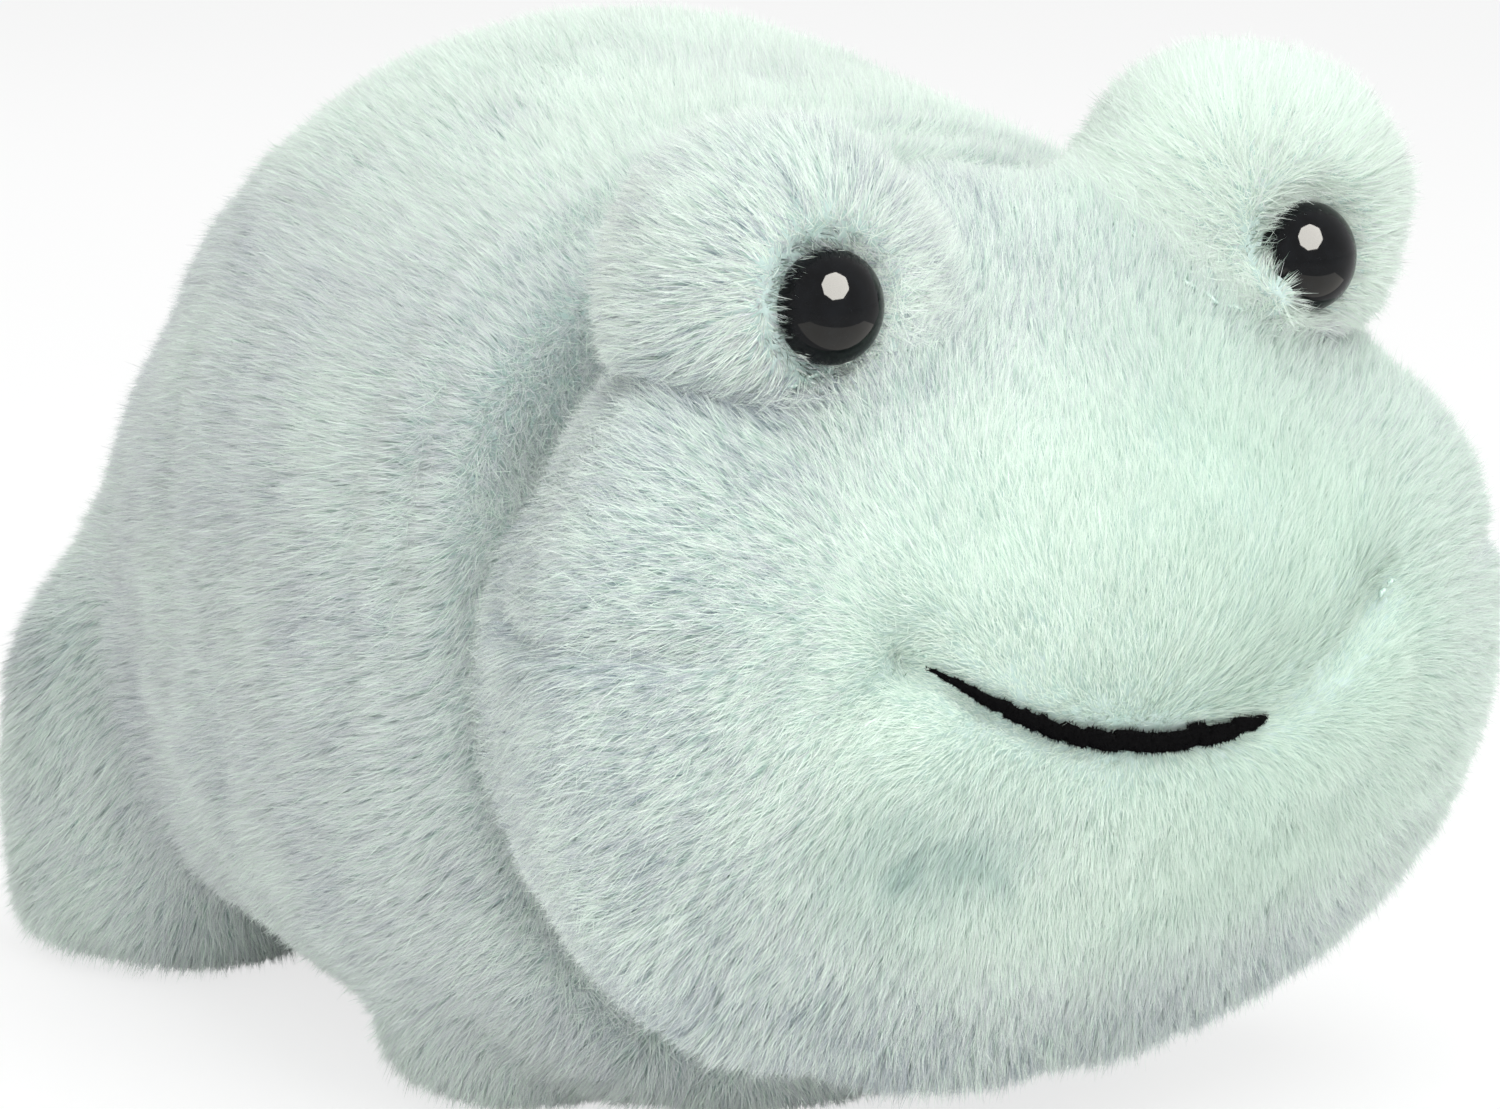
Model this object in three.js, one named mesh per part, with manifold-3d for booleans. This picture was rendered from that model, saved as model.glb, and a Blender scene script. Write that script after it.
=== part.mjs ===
// A stuffed frog in short fur, as its maker cuts, fills and sews it. Millimetres, +Z up.
// The frog faces -Y and its right side is -X. The origin is on the floor, under the middle of its length.
// Every cover's outer face is where the tips of its fur end.

import * as THREE from 'three';
import { mergeVertices } from 'three/addons/utils/BufferGeometryUtils.js';
import Module from 'manifold-3d';

const wasm = await Module();
wasm.setup();

// Fabric: a knitted backing with a dense pile
const backingThickness = 1.5;
const pileDepth = 4.5;
// Room left between pieces that touch
const fitGap = 0.3;
// Every cut runs past the piece it cuts by this much
const cutOverrun = 4;

// Neck seam, which body and head share: a ring whose lower half leans forward at its foot
const neckWidth = 127;
const neckHeight = 67;
const neckRise = 60;
const neckDrop = 49;
const neckUpperLean = 0;
const neckLowerLean = 0.25;
const neckUpperRoundness = 1.25;
const neckLowerRoundness = 0.75;

// Body, from the neck seam to the rump
const bodyLength = 153.5;
const bodyWidth = 153;
const bodyHeight = 141;
const bellyClearance = 4;
// Each row is a section: place along the length, middle's height, half width, rise, drop, and then lean and
// roundness, each for its upper and its lower half
const bodyStationShares = [
  [0.055, 0.45, 0.451, 0.468, 0.45, 0.05, 0.22, 0.8, 0.75],
  [0.221, 0.454, 0.5, 0.511, 0.454, 0.1, 0.14, 0.9, 0.66],
  [0.472, 0.444, 0.479, 0.555, 0.433, 0.05, 0.05, 0.9, 0.6],
  [0.695, 0.403, 0.427, 0.5, 0.376, 0, 0, 0.94, 0.65],
  [0.883, 0.369, 0.363, 0.298, 0.312, 0, 0, 0.95, 0.75],
  [0.972, 0.359, 0.239, 0.195, 0.199, 0, 0, 0.9, 0.86],
  [1, 0.355, 0, 0, 0, 0, 0, 0.9, 0.86],
];

// Head, from the neck seam to the snout
const headLength = 63.5;
const headWidth = 151;
const headHeight = 117.5;
const chinClearance = 10.5;
const headStationShares = [
  [0.126, 0.498, 0.454, 0.519, 0.409, -0.05, 0.15, 1.25, 0.68],
  [0.465, 0.513, 0.5, 0.485, 0.511, 0, 0.06, 1.05, 0.77],
  [0.679, 0.491, 0.474, 0.377, 0.417, 0, 0, 0.85, 0.8],
  [0.882, 0.483, 0.34, 0.241, 0.235, 0, 0, 0.82, 0.82],
  [0.97, 0.5, 0.187, 0.135, 0.121, 0, 0, 0.82, 0.82],
  [1, 0.51, 0, 0, 0, 0, 0, 0.82, 0.82],
];

// Eye mounds, sewn on top of the head: their spacing is a share of its width, their place of its length
// and their middle's height above the chin of its height
const moundSpacingShare = 0.507;
const moundPlaceShare = 0.433;
const moundHeightShare = 0.949;
const moundWidth = 49;
const moundDepth = 41;
const moundRise = 44;
const moundRoundnessShare = 0.95;

// Eyes: domed plastic with a stem, held by a washer behind the backing
const eyeDiameter = 15;
const eyeDomeHeight = 5.5;
const eyeRimThickness = 1;
const eyeDrop = 3;
const eyeSink = 4.5;
const eyeTilt = THREE.MathUtils.degToRad(5);
const eyeStemDiameter = 4;
const eyeStemLength = 10;
const eyeWasherDiameter = 12;
const eyeWasherThickness = 1.5;

// Legs: short stubs, whose soles are cut flat this far above their lowest point. Their spacing is a share
// of the body's width, and their place behind the neck of its length
const soleFlat = 0.5;
const frontLegSpacingShare = 0.569;
const frontLegPlaceShare = 0.169;
const frontLegWidth = 41;
const frontLegDepth = 39;
const frontLegHeight = 48;
const frontLegRoundnessShare = 0.8;
const frontFootRoundnessShare = 0.5;
const hindLegSpacingShare = 0.657;
const hindLegPlaceShare = 0.775;
const hindLegWidth = 51;
const hindLegDepth = 57;
const hindLegHeight = 68;
const hindLegRoundnessShare = 0.9;
const hindFootRoundnessShare = 0.35;

// Mouth: a stitched black line in the pile, with a tie stitch beyond each end
const mouthWidth = 73;
const mouthHeight = 61;
const mouthRise = 15;
const mouthThickness = 3;
const mouthTipThickness = 1;
const mouthSink = 0.3;
const tieSpacing = 77;
const tieHeight = 78;
const tieThickness = 1.2;
const tieWidth = 4;
const tieDepth = 10;

// Pouch of pellets on the belly's inner face, low in the seat
const pouchPlaceShare = 0.59;
const pouchHeight = 29;
const pouchWidth = 76;
const pouchDepth = 72;
const pouchRise = 36;
const pouchRoundnessShare = 0.85;
const pouchThickness = 1;
const pouchMouthDiameter = 12;

// Seam thread, and the room it has on each side between two covers
const threadThickness = 0.8;
const seamRoom = 0.7;

// How finely each kind of form is faceted
const formSides = 32;
const formRingsPerSpan = 3;
const hollowSides = 16;
const hollowRingsPerSpan = 2;
const knobSides = 20;
const knobRings = 10;
const knobHollowSides = 12;
const knobHollowRings = 6;
const threadSides = 4;
const threadSteps = 36;
const mouthSides = 6;
const mouthSteps = 16;
const tieSides = 6;
const tieSteps = 8;
const lathSegments = 20;
const domeSteps = 5;

const seamGap = threadThickness + 2 * seamRoom;
const threadPlace = (fitGap + seamRoom + threadThickness) / 2;
const coverThickness = backingThickness + pileDepth;
const overallLength = bodyLength + headLength;
const neckPlace = headLength - overallLength / 2;

// Solids from rings of points, and between three.js and the boolean library

function solidFromTriangles(positions, triangles) {
  const mesh = new wasm.Mesh({
    numProp: 3,
    vertProperties: new Float32Array(positions.flatMap((point) => [point.x, point.y, point.z])),
    triVerts: new Uint32Array(triangles.flat()),
  });
  return new wasm.Manifold(mesh);
}

// Rings of equal counts, closed by a fan to a point at each end
function solidFromRings(rings, firstPoint, lastPoint) {
  const count = rings[0].length;
  const positions = [...rings.flat(), firstPoint, lastPoint];
  const firstIndex = positions.length - 2;
  const lastIndex = positions.length - 1;
  const lastRing = (rings.length - 1) * count;
  const triangles = [];
  for (let side = 0; side < count; side += 1) {
    const next = (side + 1) % count;
    for (let start = 0; start < lastRing; start += count) {
      triangles.push([start + side, start + next, start + count + next]);
      triangles.push([start + side, start + count + next, start + count + side]);
    }
    triangles.push([firstIndex, next, side]);
    triangles.push([lastIndex, lastRing + side, lastRing + next]);
  }
  return solidFromTriangles(positions, triangles);
}

// Rings joined end to end, as on a loop of thread
function solidFromRingLoop(rings) {
  const count = rings[0].length;
  const positions = rings.flat();
  const triangles = [];
  rings.forEach((ring, index) => {
    const start = index * count;
    const after = ((index + 1) % rings.length) * count;
    for (let side = 0; side < count; side += 1) {
      const next = (side + 1) % count;
      triangles.push([start + side, start + next, after + next]);
      triangles.push([start + side, after + next, after + side]);
    }
  });
  return solidFromTriangles(positions, triangles);
}

function solidFromGeometry(geometry, matrix) {
  const bare = geometry.clone();
  bare.deleteAttribute('normal');
  bare.deleteAttribute('uv');
  bare.applyMatrix4(matrix);
  const merged = mergeVertices(bare);
  const index = merged.index.array;
  const corners = [];
  for (let first = 0; first < index.length; first += 3) {
    const [a, b, c] = index.slice(first, first + 3);
    if (a !== b && b !== c && c !== a) corners.push(a, b, c);
  }
  const mesh = new wasm.Mesh({
    numProp: 3,
    vertProperties: merged.attributes.position.array,
    triVerts: new Uint32Array(corners),
  });
  return new wasm.Manifold(mesh);
}

function geometryFromSolid(solid) {
  const mesh = solid.getMesh();
  const geometry = new THREE.BufferGeometry();
  geometry.setAttribute('position', new THREE.BufferAttribute(new Float32Array(mesh.vertProperties), 3));
  geometry.setIndex(new THREE.BufferAttribute(new Uint32Array(mesh.triVerts), 1));
  geometry.computeVertexNormals();
  return geometry;
}

// Lofted forms: sections across the frog's length, smoothly blended

function signedPower(value, power) {
  return Math.sign(value) * Math.abs(value) ** power;
}

// A smooth curve through b and c, with a and d as its neighbours
function blend(a, b, c, d, share) {
  const linear = (c - a) * share;
  const square = (2 * a - 5 * b + 4 * c - d) * share ** 2;
  const cube = (3 * b - a - 3 * c + d) * share ** 3;
  return (2 * b + linear + square + cube) / 2;
}

// A section is [place along Y, middle's height, half width, rise, drop, upper and lower lean, upper and lower
// roundness]
const neckSection = [
  neckPlace, neckHeight, neckWidth / 2, neckRise, neckDrop,
  neckUpperLean, neckLowerLean, neckUpperRoundness, neckLowerRoundness,
];

function makeForm(direction, length, width, height, clearance, shares) {
  const sections = shares.map(([along, middle, half, rise, drop, ...rest]) => [
    neckPlace + direction * along * length,
    clearance + middle * height,
    half * width,
    rise * height,
    drop * height,
    ...rest,
  ]);
  return { direction, sections: [neckSection, ...sections] };
}

// The same form with its sections drawn in, and its far tip with them
function insetForm(form, inset) {
  const last = form.sections.length - 1;
  const shrink = 1 - inset / Math.abs(form.sections[last][0] - neckPlace);
  const sections = form.sections.map(([place, middle, half, rise, drop, ...rest], index) => {
    const drawnIn = index < last ? inset : 0;
    const nearer = neckPlace + (place - neckPlace) * shrink;
    return [nearer, middle, half - drawnIn, rise - drawnIn, drop - drawnIn, ...rest];
  });
  return { ...form, sections };
}

// The section at a place counted in stations from the neck
function sectionAt(form, station) {
  const { sections } = form;
  const last = sections.length - 1;
  const index = Math.min(Math.floor(station), last - 1);
  const mirrored = ([place, middle, half, rise, drop, ...rest]) =>
    [place, middle, -half, -rise, -drop, ...rest];
  const ahead = sections[0].map((value, k) => 2 * value - sections[1][k]);
  const before = index > 0 ? sections[index - 1] : ahead;
  const after = index + 2 <= last ? sections[index + 2] : mirrored(sections[last - 1]);
  return sections[index].map((value, k) =>
    blend(before[k], value, sections[index + 1][k], after[k], station - index),
  );
}

function pointOnSection(section, angle) {
  const [place, middle, half, rise, drop, upperLean, lowerLean, upper, lower] = section;
  const above = Math.sin(angle) > 0;
  const roundness = above ? upper : lower;
  const across = half * signedPower(Math.cos(angle), roundness);
  const height = (above ? rise : drop) * signedPower(Math.sin(angle), roundness);
  const lean = above ? upperLean : lowerLean;
  return new THREE.Vector3(across, place + lean * height, middle + height);
}

function ringOfSection(section, sides) {
  return Array.from({ length: sides }, (_, side) => {
    const angle = (-side / sides) * 2 * Math.PI;
    return pointOnSection(section, angle);
  });
}

// A closed solid of a form from its neck end, moved along by neckShift, to its far tip, grown by a gap
function formSolid(form, sides, ringsPerSpan, neckShift, gap = 0) {
  const spans = form.sections.length - 1;
  const grow = (point) => (gap > 0 ? point.addScaledVector(normalOfForm(form, point), gap) : point);
  const rings = [];
  for (let step = 0; step < spans * ringsPerSpan; step += 1) {
    const section = sectionAt(form, step / ringsPerSpan);
    rings.push(ringOfSection(section, sides).map(grow));
  }
  const shifted = rings[0].map((point) => point.clone().setY(point.y + form.direction * neckShift));
  const ends = neckShift < 0 ? [shifted, ...rings] : [shifted, ...rings.slice(1)];
  const [place, middle] = form.sections[0];
  const [tipPlace, tipMiddle] = form.sections[spans];
  const neckPoint = new THREE.Vector3(0, place + form.direction * neckShift, middle);
  const tipPoint = new THREE.Vector3(0, tipPlace + form.direction * gap, tipMiddle);
  return form.direction > 0
    ? solidFromRings(ends, neckPoint, tipPoint)
    : solidFromRings(ends.reverse(), tipPoint, neckPoint);
}

// How far a point lies outside a form: below zero within it
function outsideForm(form, point) {
  let low = 0;
  let high = form.sections.length - 1;
  for (let turn = 0; turn < 30; turn += 1) {
    const middle = (low + high) / 2;
    const [place, height, , , , upperLean, lowerLean] = sectionAt(form, middle);
    const up = point.z - height;
    const lean = up > 0 ? upperLean : lowerLean;
    if (form.direction * (place + lean * up - point.y) < 0) low = middle;
    else high = middle;
  }
  const [, height, half, rise, drop, , , upper, lower] = sectionAt(form, low);
  const up = point.z - height;
  const power = 2 / (up > 0 ? upper : lower);
  return Math.abs(point.x / half) ** power + Math.abs(up / (up > 0 ? rise : drop)) ** power - 1;
}

function normalOfForm(form, point) {
  const slope = ['x', 'y', 'z'].map((axis) => {
    const ahead = point.clone();
    const behind = point.clone();
    ahead[axis] += fitGap;
    behind[axis] -= fitGap;
    return outsideForm(form, ahead) - outsideForm(form, behind);
  });
  return new THREE.Vector3(...slope).normalize();
}

// Knobs: round forms stacked upwards, such as a leg, a mound or a pouch

function makeKnob(x, y, z, width, depth, height, upper, lower = upper) {
  const radii = new THREE.Vector3(width, depth, height).divideScalar(2);
  return { centre: new THREE.Vector3(x, y, z), radii, upper, lower };
}

function insetKnob(knob, inset) {
  return { ...knob, radii: knob.radii.clone().subScalar(inset) };
}

function pointOnKnob(knob, rise, turn) {
  const roundness = rise > 0 ? knob.upper : knob.lower;
  const reach = Math.cos(rise) ** roundness;
  const offset = new THREE.Vector3(
    reach * Math.cos(turn),
    reach * Math.sin(turn),
    signedPower(Math.sin(rise), roundness),
  );
  return offset.multiply(knob.radii).add(knob.centre);
}

function knobSolid(knob, sides, ringCount) {
  const rings = [];
  for (let ring = 1; ring < ringCount; ring += 1) {
    const rise = (ring / ringCount - 1 / 2) * Math.PI;
    const turns = Array.from({ length: sides }, (_, side) => (side / sides) * 2 * Math.PI);
    rings.push(turns.map((turn) => pointOnKnob(knob, rise, turn)));
  }
  const pole = new THREE.Vector3(0, 0, knob.radii.z);
  return solidFromRings(rings, knob.centre.clone().sub(pole), knob.centre.clone().add(pole));
}

// Threads: thin tubes along points, open or joined in a loop

function tubeRings(points, thicknesses, sides, closed) {
  const last = points.length - 1;
  return points.map((point, index) => {
    const before = closed ? points[(index + last) % points.length] : points[Math.max(index - 1, 0)];
    const after = closed ? points[(index + 1) % points.length] : points[Math.min(index + 1, last)];
    const along = after.clone().sub(before).normalize();
    const side = new THREE.Vector3().crossVectors(along, point.clone().sub(tubeHub(points))).normalize();
    const out = new THREE.Vector3().crossVectors(side, along);
    return Array.from({ length: sides }, (_, step) => {
      const angle = (step / sides) * 2 * Math.PI;
      const reach = thicknesses[index] / 2;
      return point
        .clone()
        .addScaledVector(out, reach * Math.cos(angle))
        .addScaledVector(side, reach * Math.sin(angle));
    });
  });
}

function tubeHub(points) {
  return points.reduce((sum, point) => sum.add(point), new THREE.Vector3()).divideScalar(points.length);
}

function threadLoop(points, thickness) {
  return solidFromRingLoop(tubeRings(points, points.map(() => thickness), threadSides, true));
}

function threadRun(points, thicknesses, sides) {
  const rings = tubeRings(points, thicknesses, sides, false);
  return solidFromRings(rings, points[0], points[points.length - 1]);
}

// Cylinders and cut blocks, placed along an axis

function matrixAlong(origin, axis) {
  const turn = new THREE.Quaternion().setFromUnitVectors(new THREE.Vector3(0, 1, 0), axis);
  return new THREE.Matrix4().compose(origin, turn, new THREE.Vector3(1, 1, 1));
}

// A round hole or pocket between two depths along an axis, outward counted above zero
function roundCut(origin, axis, diameter, inner, outer) {
  const radius = diameter / 2;
  const cylinder = new THREE.CylinderGeometry(radius, radius, outer - inner, lathSegments);
  cylinder.translate(0, (inner + outer) / 2, 0);
  return solidFromGeometry(cylinder, matrixAlong(origin, axis));
}

// Everything below the floor, which cuts the soles flat
function belowFloor() {
  const block = new THREE.BoxGeometry(2 * overallLength, 2 * overallLength, overallLength);
  block.translate(0, 0, -overallLength / 2);
  return solidFromGeometry(block, new THREE.Matrix4());
}

// The frog's own forms

const body = makeForm(
  1, bodyLength, bodyWidth, bodyHeight, bellyClearance, bodyStationShares,
);
const head = makeForm(
  -1, headLength, headWidth, headHeight, chinClearance, headStationShares,
);
const floorCutter = belowFloor();
const sides = [
  { name: 'left', sign: 1 },
  { name: 'right', sign: -1 },
];

function moundKnob(sign) {
  const x = sign * moundSpacingShare * headWidth / 2;
  const y = neckPlace - moundPlaceShare * headLength;
  const z = chinClearance + moundHeightShare * headHeight;
  return makeKnob(x, y, z, moundWidth, moundDepth, moundRise, moundRoundnessShare);
}

// A leg's lowest point lies soleFlat under the floor, where it is cut off
function legKnob(sign, spacingShare, placeShare, width, depth, height, upper, lower) {
  const x = sign * spacingShare * bodyWidth / 2;
  const y = neckPlace + placeShare * bodyLength;
  const full = height + soleFlat;
  return makeKnob(x, y, full / 2 - soleFlat, width, depth, full, upper, lower);
}

function frontLegKnob(sign) {
  return legKnob(
    sign, frontLegSpacingShare, frontLegPlaceShare, frontLegWidth, frontLegDepth, frontLegHeight,
    frontLegRoundnessShare, frontFootRoundnessShare,
  );
}

function hindLegKnob(sign) {
  return legKnob(
    sign, hindLegSpacingShare, hindLegPlaceShare, hindLegWidth, hindLegDepth, hindLegHeight,
    hindLegRoundnessShare, hindFootRoundnessShare,
  );
}

// What a body or head takes away from the smaller pieces that are sewn to it
function formCutter(form, gap) {
  return formSolid(form, formSides, formRingsPerSpan, -cutOverrun, gap);
}

const coverCutters = [formCutter(body, seamGap), formCutter(head, seamGap), floorCutter];
const fillingCutters = [formCutter(body, fitGap), formCutter(head, fitGap)];

function formCover(form) {
  const hollow = formSolid(insetForm(form, coverThickness), hollowSides, hollowRingsPerSpan, -cutOverrun);
  return formSolid(form, formSides, formRingsPerSpan, seamGap / 2).subtract(hollow);
}

function formFilling(form) {
  const filled = insetForm(form, coverThickness + 3 * fitGap);
  return formSolid(filled, hollowSides, hollowRingsPerSpan, fitGap / 2);
}

function subtractAll(solid, cutters) {
  return cutters.reduce((rest, cutter) => rest.subtract(cutter), solid);
}

function knobCover(knob, cutters) {
  const hollow = knobSolid(insetKnob(knob, coverThickness), knobHollowSides, knobHollowRings);
  return subtractAll(knobSolid(knob, knobSides, knobRings).subtract(hollow), cutters);
}

function knobFilling(knob, cutters) {
  const filling = knobSolid(insetKnob(knob, coverThickness + fitGap), knobHollowSides, knobHollowRings);
  return subtractAll(filling, cutters);
}

// Seam threads, halfway through the covers that they join

function neckThreadPoints() {
  const [place, middle, half, rise, drop, ...rest] = neckSection;
  const inset = coverThickness / 2;
  const section = [place, middle, half - inset, rise - inset, drop - inset, ...rest];
  return ringOfSection(section, threadSteps);
}

// Where a knob's wall meets the form it is sewn to, followed once around the knob just outside that form
function seamPoints(knob, form, outsideRise) {
  const wall = insetKnob(knob, coverThickness / 2);
  return Array.from({ length: threadSteps }, (_, step) => {
    const turn = (step / threadSteps) * 2 * Math.PI;
    let outer = outsideRise;
    let inner = -outsideRise;
    for (let halving = 0; halving < 30; halving += 1) {
      const middle = (outer + inner) / 2;
      if (outsideForm(form, pointOnKnob(wall, middle, turn)) > 0) outer = middle;
      else inner = middle;
    }
    const point = pointOnKnob(wall, outer, turn);
    return point.addScaledVector(normalOfForm(form, point), threadPlace);
  });
}

// Eyes

// The eye's seat lies in the pile of its mound, and its axis points ahead and a little up
function eyeSeat(sign) {
  const mound = moundKnob(sign);
  const rise = -Math.asin((eyeDrop / mound.radii.z) ** (1 / mound.lower));
  const axis = new THREE.Vector3(0, -Math.cos(eyeTilt), Math.sin(eyeTilt));
  return { origin: pointOnKnob(mound, rise, -Math.PI / 2).addScaledVector(axis, -eyeSink), axis };
}

function eyeProfile() {
  const radius = eyeDiameter / 2;
  const stem = eyeStemDiameter / 2;
  const profile = [
    new THREE.Vector2(0, -eyeStemLength),
    new THREE.Vector2(stem / 2, -eyeStemLength),
    new THREE.Vector2(stem, -eyeStemLength + stem),
    new THREE.Vector2(stem, 0),
    new THREE.Vector2(radius, 0),
  ];
  for (let step = 0; step < domeSteps; step += 1) {
    const rise = (step / domeSteps) * (Math.PI / 2);
    const height = eyeRimThickness + eyeDomeHeight * Math.sin(rise);
    profile.push(new THREE.Vector2(radius * Math.cos(rise), height));
  }
  profile.push(new THREE.Vector2(0, eyeRimThickness + eyeDomeHeight));
  return profile;
}

const roomAroundTie = 2 * fitGap;
const washerOuterDepth = -(backingThickness + 2 * fitGap);
const washerInnerDepth = washerOuterDepth - eyeWasherThickness;

function washerProfile() {
  const bore = eyeStemDiameter / 2 + fitGap;
  const rim = eyeWasherDiameter / 2;
  return [
    new THREE.Vector2(bore, washerInnerDepth),
    new THREE.Vector2(rim, washerInnerDepth),
    new THREE.Vector2(rim, washerOuterDepth),
    new THREE.Vector2(bore, washerOuterDepth),
    new THREE.Vector2(bore, washerInnerDepth),
  ];
}

function lathed(profile, seat) {
  const turned = new THREE.LatheGeometry(profile, lathSegments);
  return solidFromGeometry(turned, matrixAlong(seat.origin, seat.axis));
}

// The pockets that an eye, its stem and its washer need in covers and fillings
function eyePockets({ origin, axis }) {
  const stemEnd = -(eyeStemLength + fitGap);
  const washerEnd = washerInnerDepth - fitGap;
  const washerStart = washerOuterDepth + fitGap;
  return [
    roundCut(origin, axis, eyeDiameter + 2 * fitGap, -fitGap, eyeSink + moundDepth),
    roundCut(origin, axis, eyeStemDiameter + 2 * fitGap, stemEnd, 0),
    roundCut(origin, axis, eyeWasherDiameter + 2 * fitGap, washerEnd, washerStart),
  ];
}

// Mouth

// The head's front face at a place across and up
function frontOfHead(x, z, sink) {
  const skin = insetForm(head, sink);
  let outer = -overallLength;
  let inner = head.sections[1][0];
  for (let halving = 0; halving < 40; halving += 1) {
    const middle = (outer + inner) / 2;
    const beyondTip = middle < skin.sections.at(-1)[0];
    if (beyondTip || outsideForm(skin, new THREE.Vector3(x, middle, z)) > 0) outer = middle;
    else inner = middle;
  }
  return new THREE.Vector3(x, inner, z);
}

// The smile from end to end, and past both ends where reach is over 1
function mouthPoints(reach) {
  return Array.from({ length: mouthSteps + 1 }, (_, step) => {
    const along = reach * (2 * step / mouthSteps - 1);
    const height = mouthHeight + mouthRise * along ** 2;
    return frontOfHead(along * mouthWidth / 2, height, mouthSink);
  });
}

function mouthThicknesses(extra) {
  return Array.from({ length: mouthSteps + 1 }, (_, step) => {
    const along = 2 * step / mouthSteps - 1;
    return extra + mouthTipThickness + (mouthThickness - mouthTipThickness) * (1 - along ** 2);
  });
}

// A staple-shaped stitch through the cover beyond each end of the mouth, which draws its corner in
function tiePoints(sign, depth) {
  const surface = frontOfHead(sign * tieSpacing / 2, tieHeight, 0);
  const [place, middle] = head.sections[2];
  const inward = new THREE.Vector3(0, place, middle).sub(surface).normalize();
  const across = new THREE.Vector3(inward.y, -inward.x, 0).normalize();
  const along = new THREE.Vector3().crossVectors(inward, across);
  const cornerAt = (aside, sink) => {
    const corner = surface.clone().addScaledVector(along, aside * tieWidth / 2);
    return corner.addScaledVector(inward, sink);
  };
  const corners = [
    cornerAt(1, depth),
    cornerAt(1, tieThickness),
    cornerAt(-1, tieThickness),
    cornerAt(-1, depth),
  ];
  return new THREE.CatmullRomCurve3(corners, false, 'centripetal').getPoints(tieSteps);
}

// A tie, or the room for one where the gap around it is above zero
function tieSolid(sign, gap) {
  const points = tiePoints(sign, tieDepth + gap);
  return threadRun(points, points.map(() => tieThickness + 2 * gap), tieSides);
}

// Pellet pouch, which lies on the belly's inner face

const pouchPlace = neckPlace + pouchPlaceShare * bodyLength;
const pouch = makeKnob(
  0, pouchPlace, pouchHeight, pouchWidth, pouchDepth, pouchRise, pouchRoundnessShare,
);

function pouchLayer(inset) {
  const knob = knobSolid(insetKnob(pouch, inset), knobSides, knobRings);
  const form = insetForm(body, coverThickness + fitGap + inset);
  return knob.intersect(formSolid(form, hollowSides, hollowRingsPerSpan, 0));
}

function pouchMouth() {
  const top = pouch.centre.clone().setZ(pouch.centre.z + pouch.radii.z);
  const up = new THREE.Vector3(0, 0, 1);
  return roundCut(top, up, pouchMouthDiameter, -pouchThickness - pouchRise / 2, cutOverrun);
}

// Materials, one for each finish

const furMint = new THREE.MeshStandardMaterial({ color: '#cfe6dd', roughness: 0.95, metalness: 0 });
const fillingWhite = new THREE.MeshStandardMaterial({ color: '#f2f1ec', roughness: 1, metalness: 0 });
const pouchCloth = new THREE.MeshStandardMaterial({ color: '#e6e2d6', roughness: 0.9, metalness: 0 });
const pelletWhite = new THREE.MeshStandardMaterial({ color: '#e9e9e6', roughness: 0.5, metalness: 0 });
const eyeBlack = new THREE.MeshStandardMaterial({ color: '#0b0b0c', roughness: 0.06, metalness: 0 });
const washerWhite = new THREE.MeshStandardMaterial({ color: '#dcdcd8', roughness: 0.5, metalness: 0 });
const mouthBlack = new THREE.MeshStandardMaterial({ color: '#0d0d0e', roughness: 0.8, metalness: 0 });
const threadMint = new THREE.MeshStandardMaterial({ color: '#bfd8cf', roughness: 0.7, metalness: 0 });

// Assembly

const frog = new THREE.Group();

function add(name, solid, material) {
  const mesh = new THREE.Mesh(geometryFromSolid(solid), material);
  mesh.name = name;
  frog.add(mesh);
}

const headCuts = [];

for (const { name, sign } of sides) {
  const legs = [
    { title: 'front_leg', knob: frontLegKnob(sign) },
    { title: 'hind_leg', knob: hindLegKnob(sign) },
  ];
  for (const { title, knob } of legs) {
    const seam = seamPoints(knob, body, -Math.PI / 2);
    add(`${title}_cover_${name}`, knobCover(knob, coverCutters), furMint);
    add(`${title}_filling_${name}`, knobFilling(knob, fillingCutters), fillingWhite);
    add(`${title}_thread_${name}`, threadLoop(seam, threadThickness), threadMint);
  }

  const mound = moundKnob(sign);
  const seam = seamPoints(mound, head, Math.PI / 2);
  const seat = eyeSeat(sign);
  const pockets = eyePockets(seat);
  add(`eye_mound_cover_${name}`, knobCover(mound, [...coverCutters, ...pockets]), furMint);
  add(`eye_mound_filling_${name}`, knobFilling(mound, [...fillingCutters, ...pockets]), fillingWhite);
  add(`eye_mound_thread_${name}`, threadLoop(seam, threadThickness), threadMint);
  add(`eye_${name}`, lathed(eyeProfile(), seat), eyeBlack);
  add(`eye_washer_${name}`, lathed(washerProfile(), seat), washerWhite);
  add(`mouth_tie_${name}`, tieSolid(sign, 0), threadMint);
  headCuts.push(...pockets, tieSolid(sign, roomAroundTie));
}

const mouthLine = threadRun(mouthPoints(1), mouthThicknesses(0), mouthSides);
const grooveReach = 1 + 2 * fitGap / mouthWidth;
const mouthGroove = threadRun(mouthPoints(grooveReach), mouthThicknesses(2 * fitGap), mouthSides);
add('mouth_line', mouthLine, mouthBlack);
add('neck_thread', threadLoop(neckThreadPoints(), threadThickness), threadMint);

add('body_cover', formCover(body), furMint);
add('head_cover', subtractAll(formCover(head), [...headCuts, mouthGroove]), furMint);
const roomForPouch = knobSolid(insetKnob(pouch, -fitGap), knobSides, knobRings);
add('body_filling', formFilling(body).subtract(roomForPouch), fillingWhite);
add('head_filling', subtractAll(formFilling(head), headCuts), fillingWhite);
add('pellet_pouch', subtractAll(pouchLayer(0), [pouchLayer(pouchThickness), pouchMouth()]), pouchCloth);
add('pellet_fill', pouchLayer(pouchThickness + fitGap), pelletWhite);

export default frog;
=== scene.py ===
"""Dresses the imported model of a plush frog: its sewn skins, its pile of fur, its eyes, mouth and seams."""

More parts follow.
